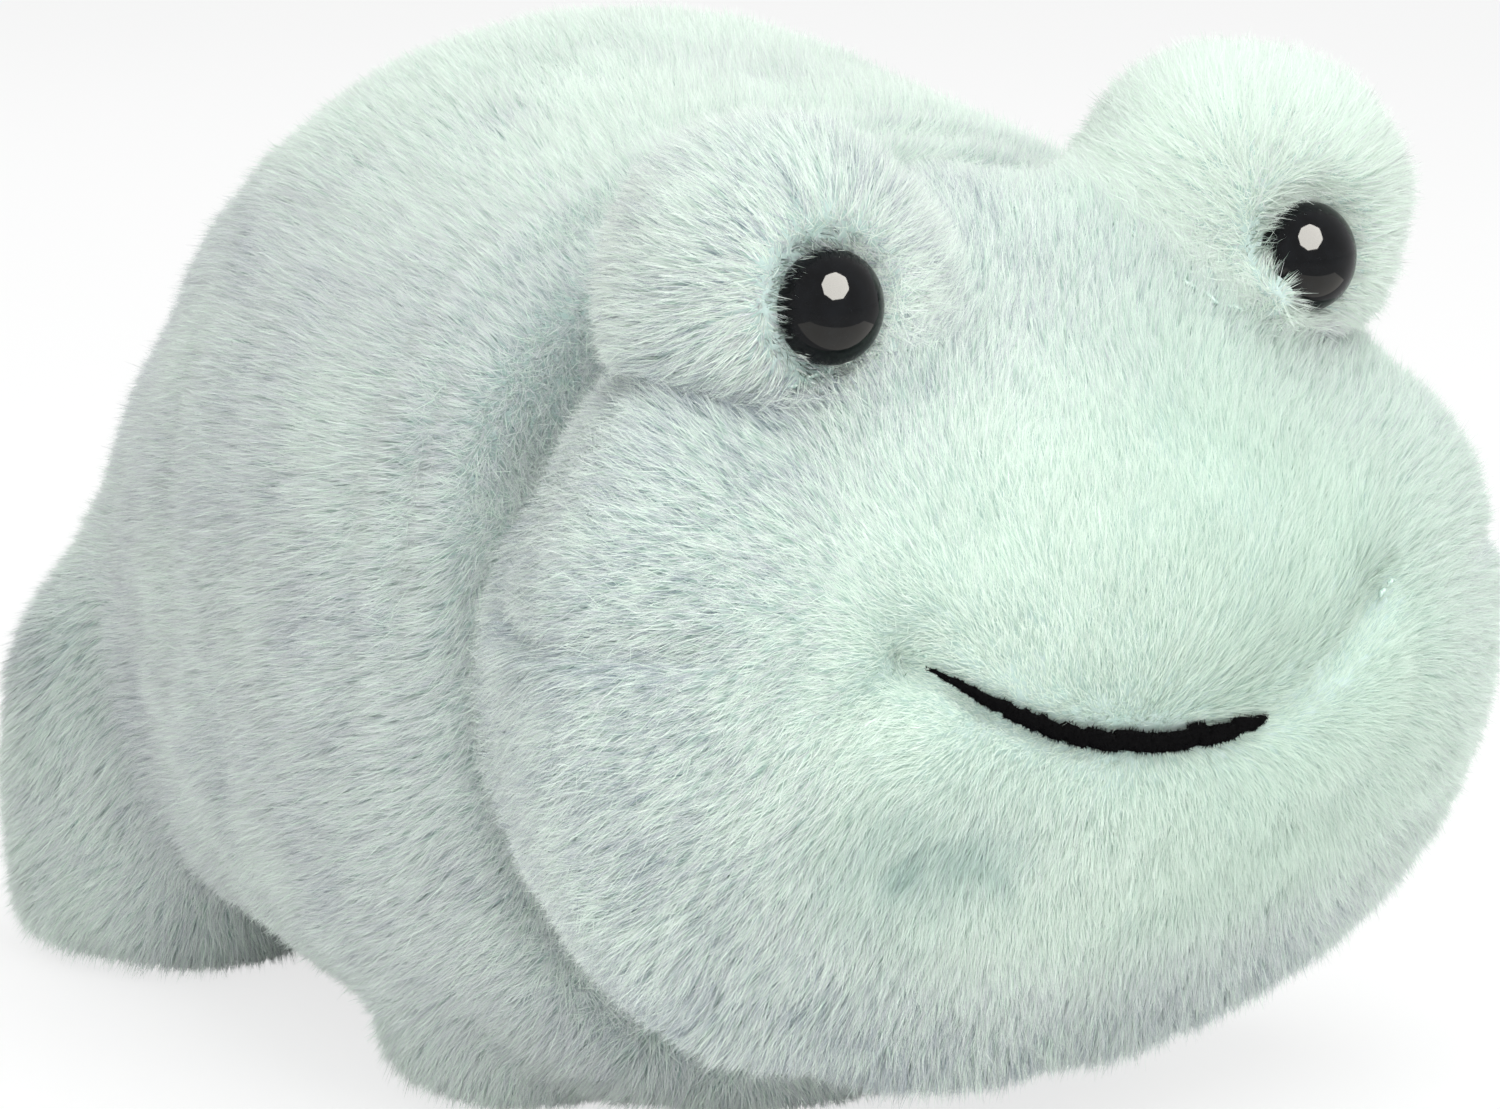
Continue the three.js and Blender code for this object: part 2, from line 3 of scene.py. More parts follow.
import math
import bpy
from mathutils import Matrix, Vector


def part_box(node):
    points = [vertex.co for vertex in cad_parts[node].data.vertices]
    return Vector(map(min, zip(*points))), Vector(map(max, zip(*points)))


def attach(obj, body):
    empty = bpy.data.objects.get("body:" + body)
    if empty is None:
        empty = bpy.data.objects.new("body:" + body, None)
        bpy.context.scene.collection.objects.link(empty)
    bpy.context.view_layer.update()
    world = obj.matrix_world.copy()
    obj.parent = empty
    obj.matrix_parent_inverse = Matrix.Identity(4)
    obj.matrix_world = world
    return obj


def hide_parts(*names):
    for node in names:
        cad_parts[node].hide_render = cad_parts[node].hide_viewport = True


bl_info = {
    "name": "Plush frog",
    "version": (1, 0, 0),
    "blender": (4, 5, 0),
    "location": "View3D > Sidebar > Frog",
    "description": "Builds a stuffed frog in short plush around its packed model",
    "category": "Object",
}

import bmesh
import bpy
import numpy as np
from bpy.props import FloatProperty, FloatVectorProperty, IntProperty, PointerProperty
from mathutils import Vector
from mathutils.bvhtree import BVHTree

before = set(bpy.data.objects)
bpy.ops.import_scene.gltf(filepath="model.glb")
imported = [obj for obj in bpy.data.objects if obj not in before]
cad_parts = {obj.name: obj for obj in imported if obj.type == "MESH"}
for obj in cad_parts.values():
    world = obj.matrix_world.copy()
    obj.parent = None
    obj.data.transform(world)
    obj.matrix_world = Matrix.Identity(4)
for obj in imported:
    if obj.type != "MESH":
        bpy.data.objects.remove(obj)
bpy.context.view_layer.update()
MM = 0.001
SIDES = (("left", 1), ("right", -1))


def linear(code):
    """A sRGB hex colour as linear red, green, blue and alpha."""
    parts = [int(code[i : i + 2], 16) / 255 for i in (1, 3, 5)]
    return [c / 12.92 if c <= 0.04045 else ((c + 0.055) / 1.055) ** 2.4 for c in parts] + [1.0]


def width_of(node):
    low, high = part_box(node)
    return high.x - low.x


# Sizes, colours and lights that a user can change


def length(name, description, default, low=0.0, high=1.0):
    limits = {"min": low, "max": high, "subtype": "DISTANCE", "unit": "LENGTH"}
    return FloatProperty(name=name, description=description, default=default, **limits)


def colour(name, description, code):
    limits = {"min": 0, "max": 1, "size": 3, "subtype": "COLOR"}
    return FloatVectorProperty(name=name, description=description, default=linear(code)[:3], **limits)


def watts(name, description, default):
    return FloatProperty(name=name, description=description, default=default, unit="POWER")


class FrogSizes(bpy.types.PropertyGroup):
    body_backing: length("Body backing", "How deep the body's backing lies under the packed cover", 1.6 * MM)
    head_backing: length("Head backing", "How deep the head's backing lies under the packed cover", 1.0 * MM)
    body_strand: length("Body strand", "Length of a strand of fur on the body", 3.8 * MM)
    face_strand: length("Face strand", "Length of a strand of fur on the face", 3.6 * MM)
    strand_width: length("Strand width", "Width of a strand of fur at its root", 0.18 * MM)
    strands_per_square: IntProperty(
        name="Strands", description="Strands of fur in a square centimetre", default=1450, min=10, max=4000
    )
    tuft_spacing: length("Tuft spacing", "How far apart the strands gather into tufts", 2.2 * MM)
    voxel: length("Skin fineness", "Size of the faces of the sewn skins", 1.4 * MM, 0.5 * MM)
    eye_diameter: length("Eye diameter", "Diameter of each safety eye", width_of("eye_left"))
    mouth_width: length("Mouth width", "From corner to corner of the smile", width_of("mouth_line"))
    mouth_thickness: length("Mouth thickness", "Thickness of the smile at its middle", 2.7 * MM)


class FrogColours(bpy.types.PropertyGroup):
    fur_tip: colour("Fur tips", "Colour of the outer half of the fur", "#f0faf3")
    # The darker root colour is partly painted shade deep in the pile, where the strands cast no shadow
    fur_root_and_shade: colour("Fur roots", "Colour of the fur near its backing", "#a2c0b8")
    fur_shade: colour("Fur shade", "Colour of the backing between the roots", "#c3d6d4")
    eye: colour("Eyes", "Colour of the moulded eyes", "#08090b")
    mouth: colour("Mouth", "Colour of the mouth's yarn", "#040405")


class FrogStage(bpy.types.PropertyGroup):
    floor: colour("Floor", "Colour of the floor and backdrop", "#f4f5f5")
    key_power: watts("Key light", "Power of the main soft light", 10.3)
    fill_power: watts("Fill light", "Power of the soft fill light", 2.6)
    side_power: watts("Side light", "Power of the side light, and of the back light", 2.4)
    bounce_power: watts("Bounce light", "Power of the low bounce light", 0.5)
    gleam_strength: FloatProperty(
        name="Gleam", description="Strength of the light in the eyes' gloss", default=54.0
    )


# Materials


def add_node(tree, kind, settings=None, links=None):
    """Adds a shader node. Settings fill its sockets, fields or ramp stops, and links join its sockets."""
    node = tree.nodes.new(kind)
    for name, value in (settings or {}).items():
        if name == "stops":
            elements = node.color_ramp.elements
            while len(elements) < len(value):
                elements.new(0.5)
            for element, (place, rgba) in zip(elements, value):
                element.position, element.color = place, rgba
        elif name in node.inputs:
            node.inputs[name].default_value = value
        else:
            setattr(node, name, value)
    for name, source in (links or {}).items():
        tree.links.new(source, node.inputs[name])
    return node


def new_material(name, settings):
    """A material whose Principled shader takes these plain settings. Returns it with its tree and shader."""
    material = bpy.data.materials.new(name)
    material.use_nodes = True
    shader = material.node_tree.nodes["Principled BSDF"]
    for socket, value in settings.items():
        shader.inputs[socket].default_value = value
    return material, material.node_tree, shader


def patterned(name, settings, texture, output, stops, relief=None):
    """A material coloured, and raised if it has a relief, by one pattern that is fixed to the object."""
    material, tree, shader = new_material(name, settings)
    kind, pattern_settings = texture
    place = add_node(tree, "ShaderNodeTexCoord")
    pattern = add_node(tree, kind, pattern_settings, {"Vector": place.outputs["Object"]})
    value = pattern.outputs[output]
    tone = add_node(tree, "ShaderNodeValToRGB", {"stops": stops}, {"Fac": value})
    tree.links.new(tone.outputs["Color"], shader.inputs["Base Color"])
    if relief:
        bump = add_node(tree, "ShaderNodeBump", relief, {"Height": value})
        tree.links.new(bump.outputs["Normal"], shader.inputs["Normal"])
    return material


def every(millimetres):
    """The scale of a pattern that repeats about this often."""
    return 1 / (millimetres * MM)


def opaque(colour_property):
    return [*colour_property, 1.0]


def polyester_pile(colours):
    """Polyester plush pile: each strand is greener and darker at its root, partly painted shade deep in the
    pile, and pale at its tip, with a soft sheen.
    """
    finish = {"Roughness": 0.9, "Sheen Weight": 0.15, "Sheen Roughness": 0.5, "IOR": 1.5}
    material, tree, shader = new_material("polyester_pile", {**finish, "Specular IOR Level": 0.02})
    place = add_node(tree, "ShaderNodeUVMap", {"uv_map": "OFBake"})
    # Each strand's U is how pale it is, from its own tone and from painted light and shade, and its V runs
    # from root to tip
    parts = add_node(tree, "ShaderNodeSeparateXYZ", links={"Vector": place.outputs["UV"]})
    root, tip = opaque(colours.fur_root_and_shade), opaque(colours.fur_tip)
    along = {"stops": [(0.0, root), (0.7, tip), (1.0, tip)]}
    # Low on this ramp the pile is a lavender grey, partly painted cool shade on the body's sides; higher up
    # it is pale mint and white
    shades = ((0.0, "#aeb3c1"), (0.45, "#e9e4ec"), (0.8, "#eff7f0"), (1.0, "#ffffff"))
    shade = {"stops": [(at, linear(code)) for at, code in shades]}
    mixed = add_node(tree, "ShaderNodeMix", {"data_type": "RGBA", "blend_type": "MULTIPLY"})
    mixed.inputs[0].default_value = 1.0
    for socket, axis, stops in ((6, "Y", along), (7, "X", shade)):
        tone = add_node(tree, "ShaderNodeValToRGB", stops, {"Fac": parts.outputs[axis]})
        tree.links.new(tone.outputs["Color"], mixed.inputs[socket])
    tree.links.new(mixed.outputs[2], shader.inputs["Base Color"])
    return material


def knitted_backing(colours):
    """Knitted polyester backing under the pile: matt, mottled by the roots of the fur."""
    # Tufts gather every 2.2 mm, so the mottling repeats about every 3 mm
    mottle = ("ShaderNodeTexNoise", {"Scale": every(3.03), "Detail": 4.0, "Roughness": 0.6})
    stops = [(0.3, opaque(colours.fur_root_and_shade)), (0.7, opaque(colours.fur_shade))]
    relief = {"Strength": 0.5, "Distance": 0.6 * MM}
    finish = {"Roughness": 0.95, "Sheen Weight": 0.3}
    return patterned("knitted_backing", finish, mottle, "Fac", stops, relief)


# Meshes


def link(mesh, name, material, smooth=True):
    piece = bpy.data.objects.new(name, mesh)
    bpy.context.scene.collection.objects.link(piece)
    mesh.materials.clear()
    mesh.materials.append(material)
    if smooth:
        mesh.shade_smooth()
    return piece


def mesh_of(name, points, faces):
    mesh = bpy.data.meshes.new(name)
    mesh.from_pydata([tuple(p) for p in points], [], [tuple(f) for f in faces])
    mesh.update()
    return mesh


def rings_to_mesh(name, rings, first, last):
    """Rings of equal counts, closed by a fan to a point at each end."""
    count = len(rings[0])
    points = [p for ring in rings for p in ring] + [first, last]
    faces = []
    for start in range(0, (len(rings) - 1) * count, count):
        for side in range(count):
            after = (side + 1) % count
            faces.append((start + side, start + after, start + count + after, start + count + side))
    top = (len(rings) - 1) * count
    for side in range(count):
        after = (side + 1) % count
        faces.append((len(points) - 2, after, side))
        faces.append((len(points) - 1, top + side, top + after))
    return mesh_of(name, points, faces)


def positions(mesh):
    co = np.empty(len(mesh.vertices) * 3, np.float32)
    mesh.vertices.foreach_get("co", co)
    return co.reshape(-1, 3).astype(float)


def set_positions(mesh, co):
    mesh.vertices.foreach_set("co", co.astype(np.float32).ravel())
    mesh.update()


def normals(mesh):
    no = np.empty(len(mesh.vertices) * 3, np.float32)
    mesh.vertex_normals.foreach_get("vector", no)
    return no.reshape(-1, 3).astype(float)


def edges(mesh):
    pairs = np.empty(len(mesh.edges) * 2, np.int32)
    mesh.edges.foreach_get("vertices", pairs)
    return pairs.reshape(-1, 2)


def quads(mesh):
    corners = np.empty(len(mesh.loops), np.int32)
    mesh.loops.foreach_get("vertex_index", corners)
    return corners.reshape(-1, 4)


def submesh(name, co, faces, keep):
    """The faces that are kept, as a mesh of their own."""
    kept = faces[keep]
    used, index = np.unique(kept.ravel(), return_inverse=True)
    return mesh_of(name, co[used], index.reshape(kept.shape).tolist())


def unit(v):
    return v / np.maximum(np.linalg.norm(v, axis=-1, keepdims=True), 1e-9)


def relax(mesh, rounds, weight):
    """Moves each point towards the mean of its neighbours, as far as its weight says."""
    pairs, co = edges(mesh), positions(mesh)
    count = np.bincount(pairs.ravel(), minlength=len(co))[:, None]
    for _ in range(rounds):
        total = np.zeros_like(co)
        for k in range(3):
            total[:, k] = np.bincount(pairs[:, 0], co[pairs[:, 1], k], len(co))
            total[:, k] += np.bincount(pairs[:, 1], co[pairs[:, 0], k], len(co))
        co += weight[:, None] * (total / np.maximum(count, 1) - co) * 0.6
    set_positions(mesh, co)


def soft_noise(points, spacing, seed):
    """Smooth noise from -1 to 1 in three channels, whose bumps are this far apart."""
    scaled = points / spacing + seed * 17.31
    cell = np.floor(scaled).astype(np.int64)
    share = scaled - cell
    share = share * share * (3 - 2 * share)
    out = np.zeros((len(points), 3))
    for corner in np.ndindex(2, 2, 2):
        at = cell + np.array(corner)
        weight = np.prod(np.where(np.array(corner) == 1, share, 1 - share), axis=1)
        out += weight[:, None] * scatter(at, seed)
    return out * 2 - 1


def scatter(cells, seed):
    """Three numbers from 0 to 1 for each whole-numbered cell, always the same for the same cell."""
    mixed = cells[:, 0] * 73856093 ^ cells[:, 1] * 19349663 ^ cells[:, 2] * 83492791 ^ seed * 2654435761
    out = np.empty((len(cells), 3))
    for k in range(3):
        mixed = (mixed ^ (mixed >> 13)) * 1274126177 & 0x7FFFFFFF
        mixed = (mixed ^ (mixed >> 11)) * 668265263 & 0x7FFFFFFF
        out[:, k] = mixed / 0x7FFFFFFF
    return out


def nearest_tuft(points, spacing, seed):
    """The middle of the tuft that each point belongs to."""
    cell = np.floor(points / spacing).astype(np.int64)
    best = np.full(len(points), 1e9)
    middle = np.zeros_like(points)
    for step in np.ndindex(3, 3, 3):
        at = cell + np.array(step) - 1
        candidate = (at + scatter(at, seed)) * spacing
        gap = ((candidate - points) ** 2).sum(1)
        nearer = gap < best
        best[nearer], middle[nearer] = gap[nearer], candidate[nearer]
    return middle


def smooth_step(value, low, high):
    share = np.clip((value - low) / (high - low), 0, 1)
    return share * share * (3 - 2 * share)


def bell(value, middle, spread):
    return np.exp(-(((value - middle) / spread) ** 2))


def power(value, exponent):
    return math.copysign(abs(value) ** exponent, value)


def tree_of(mesh):
    return BVHTree.FromPolygons([v.co for v in mesh.vertices], [p.vertices for p in mesh.polygons])


def distance_to(tree, points):
    return np.array([tree.find_nearest(Vector(p))[3] for p in points])


def front_of(tree, x, z):
    """Where a line along +Y at this place meets a surface, and its normal."""
    place, normal, _, _ = tree.ray_cast(Vector((x, -0.2, z)), Vector((0, 1, 0)))
    return place, normal


# The sewn forms. Rows are in millimetres: place along Y, middle's height, half width, rise, drop, and then
# lean and roundness, each for the upper and the lower half
NECK = (-45.0, 67.0, 63.5, 60.0, 49.0, 0.0, 0.25, 1.25, 0.75)
BODY_STATIONS = (
    NECK,
    (-36.5, 67.5, 69.0, 66.0, 66.5, 0.05, 0.22, 0.8, 0.72),
    (-11.0, 68.0, 76.5, 72.0, 67.5, 0.1, 0.14, 0.9, 0.62),
    (27.4, 66.6, 73.3, 78.2, 61.0, 0.05, 0.05, 0.9, 0.55),
    (61.7, 60.8, 65.3, 70.5, 53.0, 0.0, 0.0, 0.94, 0.6),
    (90.5, 56.0, 55.5, 42.0, 44.0, 0.0, 0.0, 0.95, 0.75),
    (104.2, 54.6, 36.6, 27.5, 28.0, 0.0, 0.0, 0.9, 0.86),
    (108.5, 54.1, 0.0, 0.0, 0.0, 0.0, 0.0, 0.9, 0.86),
)
HEAD_STATIONS = (
    NECK,
    (-53.0, 69.0, 68.5, 61.0, 48.0, -0.05, 0.15, 1.25, 0.68),
    (-74.5, 70.8, 75.5, 57.0, 60.0, 0.0, 0.06, 1.05, 0.77),
    (-88.1, 68.2, 71.5, 44.3, 49.0, 0.0, 0.0, 0.85, 0.8),
    (-101.0, 67.3, 51.4, 28.3, 27.6, 0.0, 0.0, 0.82, 0.82),
    (-106.6, 69.2, 28.3, 15.9, 14.2, 0.0, 0.0, 0.82, 0.82),
    (-108.5, 70.4, 0.0, 0.0, 0.0, 0.0, 0.0, 0.82, 0.82),
)
# Middle, half sizes, and how round the upper and the lower half are, of each stuffed knob, as if on the left
FRONT_LEG = ((43.0, -20.0, 23.75), (21.5, 20.5, 24.25), 0.8, 0.5)
HIND_LEG = ((50.3, 74.0, 33.75), (25.5, 28.5, 34.25), 0.9, 0.35)
# The right mound is stuffed less than the left, and sags inwards
EYE_MOUNDS = {
    1: ((39.0, -72.5, 123.5), (24.0, 20.5, 22.0), 0.95, 0.95),
    -1: ((34.9, -72.5, 118.5), (22.6, 20.5, 22.0), 0.95, 0.95),
}


def station_at(rows, place):
    """The row at a place counted in rows from the neck, on a smooth curve through the rows."""
    last = len(rows) - 1
    index = min(int(place), last - 1)
    share = place - index
    b, c = rows[index], rows[index + 1]
    a = rows[index - 1] if index else 2 * rows[0] - rows[1]
    mirrored = rows[last - 1] * (1, 1, -1, -1, -1, 1, 1, 1, 1)
    d = rows[index + 2] if index + 2 <= last else mirrored
    return b + 0.5 * share * (c - a + share * (2 * a - 5 * b + 4 * c - d + share * (3 * (b - c) + d - a)))


def loft(name, stations, inset, sides=96, steps=10):
    """A closed form through its stations, drawn in by a depth."""
    rows = np.array(stations) * (MM, MM, MM, MM, MM, 1, 1, 1, 1)
    reach = rows[-1][0] - rows[0][0]
    rows[:, 0] = rows[0][0] + (rows[:, 0] - rows[0][0]) * (1 - inset / abs(reach))
    rows[:-1, 2:5] -= inset
    places = [k / steps for k in range((len(rows) - 1) * steps)]
    sections = [station_at(rows, place) for place in places]
    # The neck end is drawn in to a rounded cap that tucks into the other form
    tuck = sections[0] * (1, 1, 0.85, 0.85, 0.85, 1, 1, 1, 1)
    tuck[0] -= math.copysign(5 * MM, reach)
    rings = []
    for place, middle, half, rise, drop, *shape in [tuck, *sections]:
        ring = []
        for side in range(sides):
            angle = 2 * math.pi * side / sides * (-1 if reach > 0 else 1)
            above = math.sin(angle) > 0
            height, lean, roundness = (rise, *shape[::2]) if above else (drop, *shape[1::2])
            up = height * power(math.sin(angle), roundness)
            ring.append((half * power(math.cos(angle), roundness), place + lean * up, middle + up))
        rings.append(ring)
    return rings_to_mesh(name, rings, (0, tuck[0], tuck[1]), (0, rows[-1][0], rows[-1][1]))


def knob(name, spec, sign, inset, sides=64, steps=32):
    """A round stuffed form, such as a leg or an eye mound."""
    middle, half, upper, lower = spec
    middle = np.array(middle) * MM * (sign, 1, 1)
    half = np.array(half) * MM - inset
    rings = []
    for step in range(1, steps):
        rise = (step / steps - 0.5) * math.pi
        roundness = upper if rise > 0 else lower
        reach = math.cos(rise) ** roundness
        ring = []
        for side in range(sides):
            turn = 2 * math.pi * side / sides
            offset = (reach * math.cos(turn), reach * math.sin(turn), power(math.sin(rise), roundness))
            ring.append(tuple(middle + half * offset))
        rings.append(ring)
    foot, top = middle - half * (0, 0, 1), middle + half * (0, 0, 1)
    return rings_to_mesh(name, rings, tuple(foot), tuple(top))


def near_knob(spec, sign, heights, slack=1 * MM):
    """A test for points on a stuffed knob that lie between two heights."""
    middle, half, upper, lower = spec
    middle = np.array(middle) * MM * (sign, 1, 1)
    low, high = heights

    def test(points):
        offset = (points - middle) / (np.array(half) * MM + slack)
        roundness = np.where(offset[:, 2] > 0, upper, lower)
        across = np.hypot(offset[:, 0], offset[:, 1])
        on_knob = across ** (2 / roundness) + np.abs(offset[:, 2]) ** (2 / roundness) < 1
        return on_knob & (points[:, 2] > low) & (points[:, 2] < high)

    return test


def within(low, high):
    """A test for points inside a box given in millimetres, with None for an open side."""
    bounds = [(-1e3 if a is None else a, 1e3 if b is None else b) for a, b in zip(low, high)]

    def test(points):
        inside = [(points[:, k] >= a * MM) & (points[:, k] < b * MM) for k, (a, b) in enumerate(bounds)]
        return np.all(inside, axis=0)

    return test


def fuse(name, forms, voxel):
    """One skin around several forms that overlap."""
    fused = bmesh.new()
    for form in forms:
        fused.from_mesh(form)
    mesh = bpy.data.meshes.new(name)
    fused.to_mesh(mesh)
    fused.free()
    holder = bpy.data.objects.new(name, mesh)
    bpy.context.scene.collection.objects.link(holder)
    remesh = holder.modifiers.new("fuse", "REMESH")
    remesh.mode = "VOXEL"
    remesh.voxel_size = voxel
    skin = bpy.data.meshes.new_from_object(holder.evaluated_get(bpy.context.evaluated_depsgraph_get()))
    bpy.data.objects.remove(holder)
    bpy.data.meshes.remove(mesh)
    return skin


def sewn_skin(name, stations, knobs, inset, voxel):
    """One skin around a loft and its knobs, with how far each point lies from the loft and from each knob."""
    forms = [loft(f"{name}_form", stations, inset)]
    forms += [knob("knob_form", spec, sign, inset) for spec, sign in knobs]
    skin = fuse(name, forms, voxel)
    co = positions(skin)
    to_loft, *to_knobs = [distance_to(tree_of(form), co) for form in forms]
    for form in forms:
        bpy.data.meshes.remove(form)
    return skin, to_loft, np.array(to_knobs)


def relax_seams(skin, seam, blend, crease, open_share):
    """Smooths the remeshed skin, runs its forms into each other where they are open, and eases each seam."""
    relax(skin, 4, np.ones(len(seam)))
    relax(skin, blend[0], bell(seam, 0, blend[1]) * open_share)
    relax(skin, crease[0], bell(seam, 0, crease[1]))


def behind_neck(co):
    """How far each point lies behind the ring of the neck seam."""
    place, height, _, _, _, upper, lower, _, _ = NECK
    up = co[:, 2] - height * MM
    return co[:, 1] - place * MM - np.where(up > 0, upper, lower) * up


def neck_relief(co, away):
    """The neck seam draws the skins in, less so over the crown, and the stuffing swells beside it."""
    drawn_in = 1 - 0.7 * smooth_step(co[:, 2], 100 * MM, 122 * MM)
    return 0.8 * MM * bell(away, 12 * MM, 8 * MM) - 2.2 * MM * drawn_in * bell(away, 0, 4 * MM)


def partings(co, seed):
    """From 0 to 1, where the pile parts in small scattered places and shows its roots."""
    fine = soft_noise(co, 3.4 * MM, seed)[:, 0] + 0.7 * soft_noise(co, 9 * MM, seed + 1)[:, 0]
    return smooth_step(fine, 0.35, 0.75)


# Body and legs. Rounds and reach of the smoothing of the skin where the legs run into it, and at their seams
LEG_BLEND, LEG_CREASE = (150, 15 * MM), (12, 5 * MM)
# Place behind the neck seam, depth and half width of each fold that gathers beside it
NECK_FOLDS = ((10 * MM, 1.9 * MM, 2.4 * MM), (18 * MM, 1.2 * MM, 2.8 * MM))
# Place along Y and depth of each slack fold down a flank, and half their width
FLANK_FOLDS = ((4 * MM, 0.5 * MM), (27 * MM, 0.8 * MM), (61 * MM, 0.6 * MM))
FLANK_FOLD_WIDTH = 6 * MM
SOLE_HEIGHT, SOLE_RISE = 0.7 * MM, 1.4 * MM
BACKWARD, DOWN = np.array((0.0, 1.0, -0.3)), np.array((0.0, 0.25, -1.0))
BODY_LEAN = math.radians(42)
LEG_TOP = 34 * MM


def body_skin(sizes):
    knobs = [(spec, sign) for spec in (FRONT_LEG, HIND_LEG) for _, sign in SIDES]
    skin, to_body, to_legs = sewn_skin("torso", BODY_STATIONS, knobs, sizes.body_backing, sizes.voxel)
    seam = np.maximum(to_body, to_legs.min(0))
    # The legs run into the body above, and keep a crease low down
    high = smooth_step(positions(skin)[:, 2], 18 * MM, 40 * MM)
    relax_seams(skin, seam, LEG_BLEND, LEG_CREASE, high)
    co, outward = positions(skin), normals(skin)
    behind = behind_neck(co)
    drift = soft_noise(co, 22 * MM, 3)
    push = 0.9 * MM * drift[:, 0] + 0.35 * MM * soft_noise(co, 8 * MM, 5)[:, 0]
    # Folds gather beside the neck seam, most on the upper half
    upper = smooth_step(co[:, 2], 45 * MM, 85 * MM)
    along = behind + 2.5 * MM * drift[:, 1]
    push -= upper * sum(depth * bell(along, place, width) for place, depth, width in NECK_FOLDS)
    push += neck_relief(co, behind)
    # Slack folds hang down the flanks
    flank = smooth_step(np.abs(co[:, 0]), 40 * MM, 60 * MM) * (1 - smooth_step(co[:, 2], 95 * MM, 120 * MM))
    wandering = co[:, 1] + 7 * MM * drift[:, 2]
    for place, depth in FLANK_FOLDS:
        push -= flank * depth * bell(wandering, place, FLANK_FOLD_WIDTH)
    co += outward * push[:, None]
    # Soles rest flat
    height = co[:, 2].copy()
    flattened = SOLE_HEIGHT + smooth_step(height, 0, SOLE_HEIGHT + 3 * MM) * SOLE_RISE
    co[:, 2] = np.where(height < SOLE_HEIGHT + 2 * MM, flattened, height)
    set_positions(skin, co)
    return skin, to_body, to_legs


def body_fur_fields(skin, to_body, to_legs, sizes):
    """What the fur needs to know at each point of the body, such as its flow, length, lean and tones."""
    co = positions(skin)
    z = co[:, 2]
    even = np.ones(len(co))
    on_leg = smooth_step(to_body - to_legs.min(0), -3 * MM, 5 * MM)
    parted = partings(co, 12)
    long = sizes.body_strand * (1 + 0.12 * soft_noise(co, 14 * MM, 9)[:, 0])
    # The fur is short where it nears the surface that the toy stands on
    long *= 1 - 0.55 * smooth_step(-z, -6 * MM, -2.5 * MM)
    # The body sits low on the pale ramp, partly painted cool shade; it is darker where it parts, painted
    # shade in the gaps, and paler on the legs, painted bounce light
    tint_and_painted_light = 0.48 + 0.12 * soft_noise(co, 17 * MM, 10)[:, 0] - 0.12 * parted + 0.08 * on_leg
    return {
        "flow": BACKWARD + on_leg[:, None] * (DOWN - BACKWARD) + soft_noise(co, 26 * MM, 8) * 0.35,
        "length": long * (1 - 0.2 * parted),
        "lean": BODY_LEAN * even,
        # The top of the back is painted paler, a painted highlight where the light falls from above
        "tint_and_painted_light": tint_and_painted_light + 0.22 * smooth_step(z, 108 * MM, 138 * MM),
        "speckle": 0.16 * even,
        "tuft": 0.7 * even,
        "foot_tone": 0.12 * even,
        "tip_tone": 0.99 * even,
        # The pile is thin where the toy stands on it
        "cover": 0.5 + 0.5 * smooth_step(z, 3 * MM, 9 * MM),
    }


# Head and eye mounds. Smoothing as for the legs
MOUND_BLEND, MOUND_CREASE = (160, 13 * MM), (4, 4 * MM)
# The stuffing of the lower face has settled towards the toy's left
FACE_SHIFT = 2.3 * MM
SNOUT = np.array((0.0, -108.0, 66.0)) * MM
MOUTH_MIDDLE_HEIGHT, MOUTH_CORNER_RISE, MOUTH_SHIFT = 61.4 * MM, 13.4 * MM, 5.2 * MM
# How far the smile droops, and where, just before its left corner
MOUTH_DROOP, DROOP_PLACE, DROOP_SPREAD = 2.3 * MM, 25 * MM, 10 * MM
# Height, place above the smile and spread of the lower and the upper lip
LIPS = ((1.5 * MM, -11 * MM, 8 * MM), (1.2 * MM, 10 * MM, 7 * MM))
SMILE_DEPTH, SMILE_SPREAD = 1.6 * MM, 2.6 * MM
CORNER_DEPTH, CORNER_SPREAD = 2.6 * MM, 3.6 * MM
CHEEK_PUFF, CHEEK_ASIDE, CHEEK_HEIGHT, CHEEK_SPREAD = 1.6 * MM, 49 * MM, 62 * MM, 15 * MM
GROOVE_DEPTH, GROOVE_SPREAD = 1.8 * MM, 2.2 * MM
# Where the front foot on the right lifts the jaw that rests on it
JAW_REST, JAW_LIFT, JAW_SPREAD = np.array((-34, -62, 16)) * MM, 4.5 * MM, 15 * MM
EYE_TILT = math.radians(5)
EYE_AXIS = Vector((0, -math.cos(EYE_TILT), math.sin(EYE_TILT)))
EYE_HEIGHT = 6.5 * MM
# The left mound, stuffed tighter, holds its eye a little higher and swells over the eye's lower inner rim
EYE_LIFT = {"left": 0.8 * MM, "right": 0.0}
RIM_SWELL, RIM_HEIGHT, RIM_SPREAD = np.array((-6.6, 0.0, -4.8)) * MM, 4.6 * MM, 4.2 * MM
# How far before and behind its seat an eye presses the skin
SEAT_REACH = 12 * MM
MOUND_FOOT = 112 * MM


def eye_seat(side):
    low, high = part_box(f"eye_{side}")
    front = low.y + EYE_HEIGHT * math.cos(EYE_TILT)
    return Vector(((low.x + high.x) / 2, front, (low.z + high.z) / 2 + EYE_LIFT[side]))


def about_eye(co, side):
    """How far each point stands before an eye's seat, and how far it lies from the eye's axis."""
    seat, axis = np.array(eye_seat(side)), np.array(EYE_AXIS)
    rise = (co - seat) @ axis
    return rise, np.linalg.norm(co - seat - rise[:, None] * axis, axis=1)


def mouth_height(x, sizes):
    """The height of the smile's line, which droops a little before its left corner."""
    rise = MOUTH_CORNER_RISE * ((x - MOUTH_SHIFT) / (sizes.mouth_width / 2)) ** 2
    return MOUTH_MIDDLE_HEIGHT + rise - MOUTH_DROOP * bell(x, DROOP_PLACE, DROOP_SPREAD)


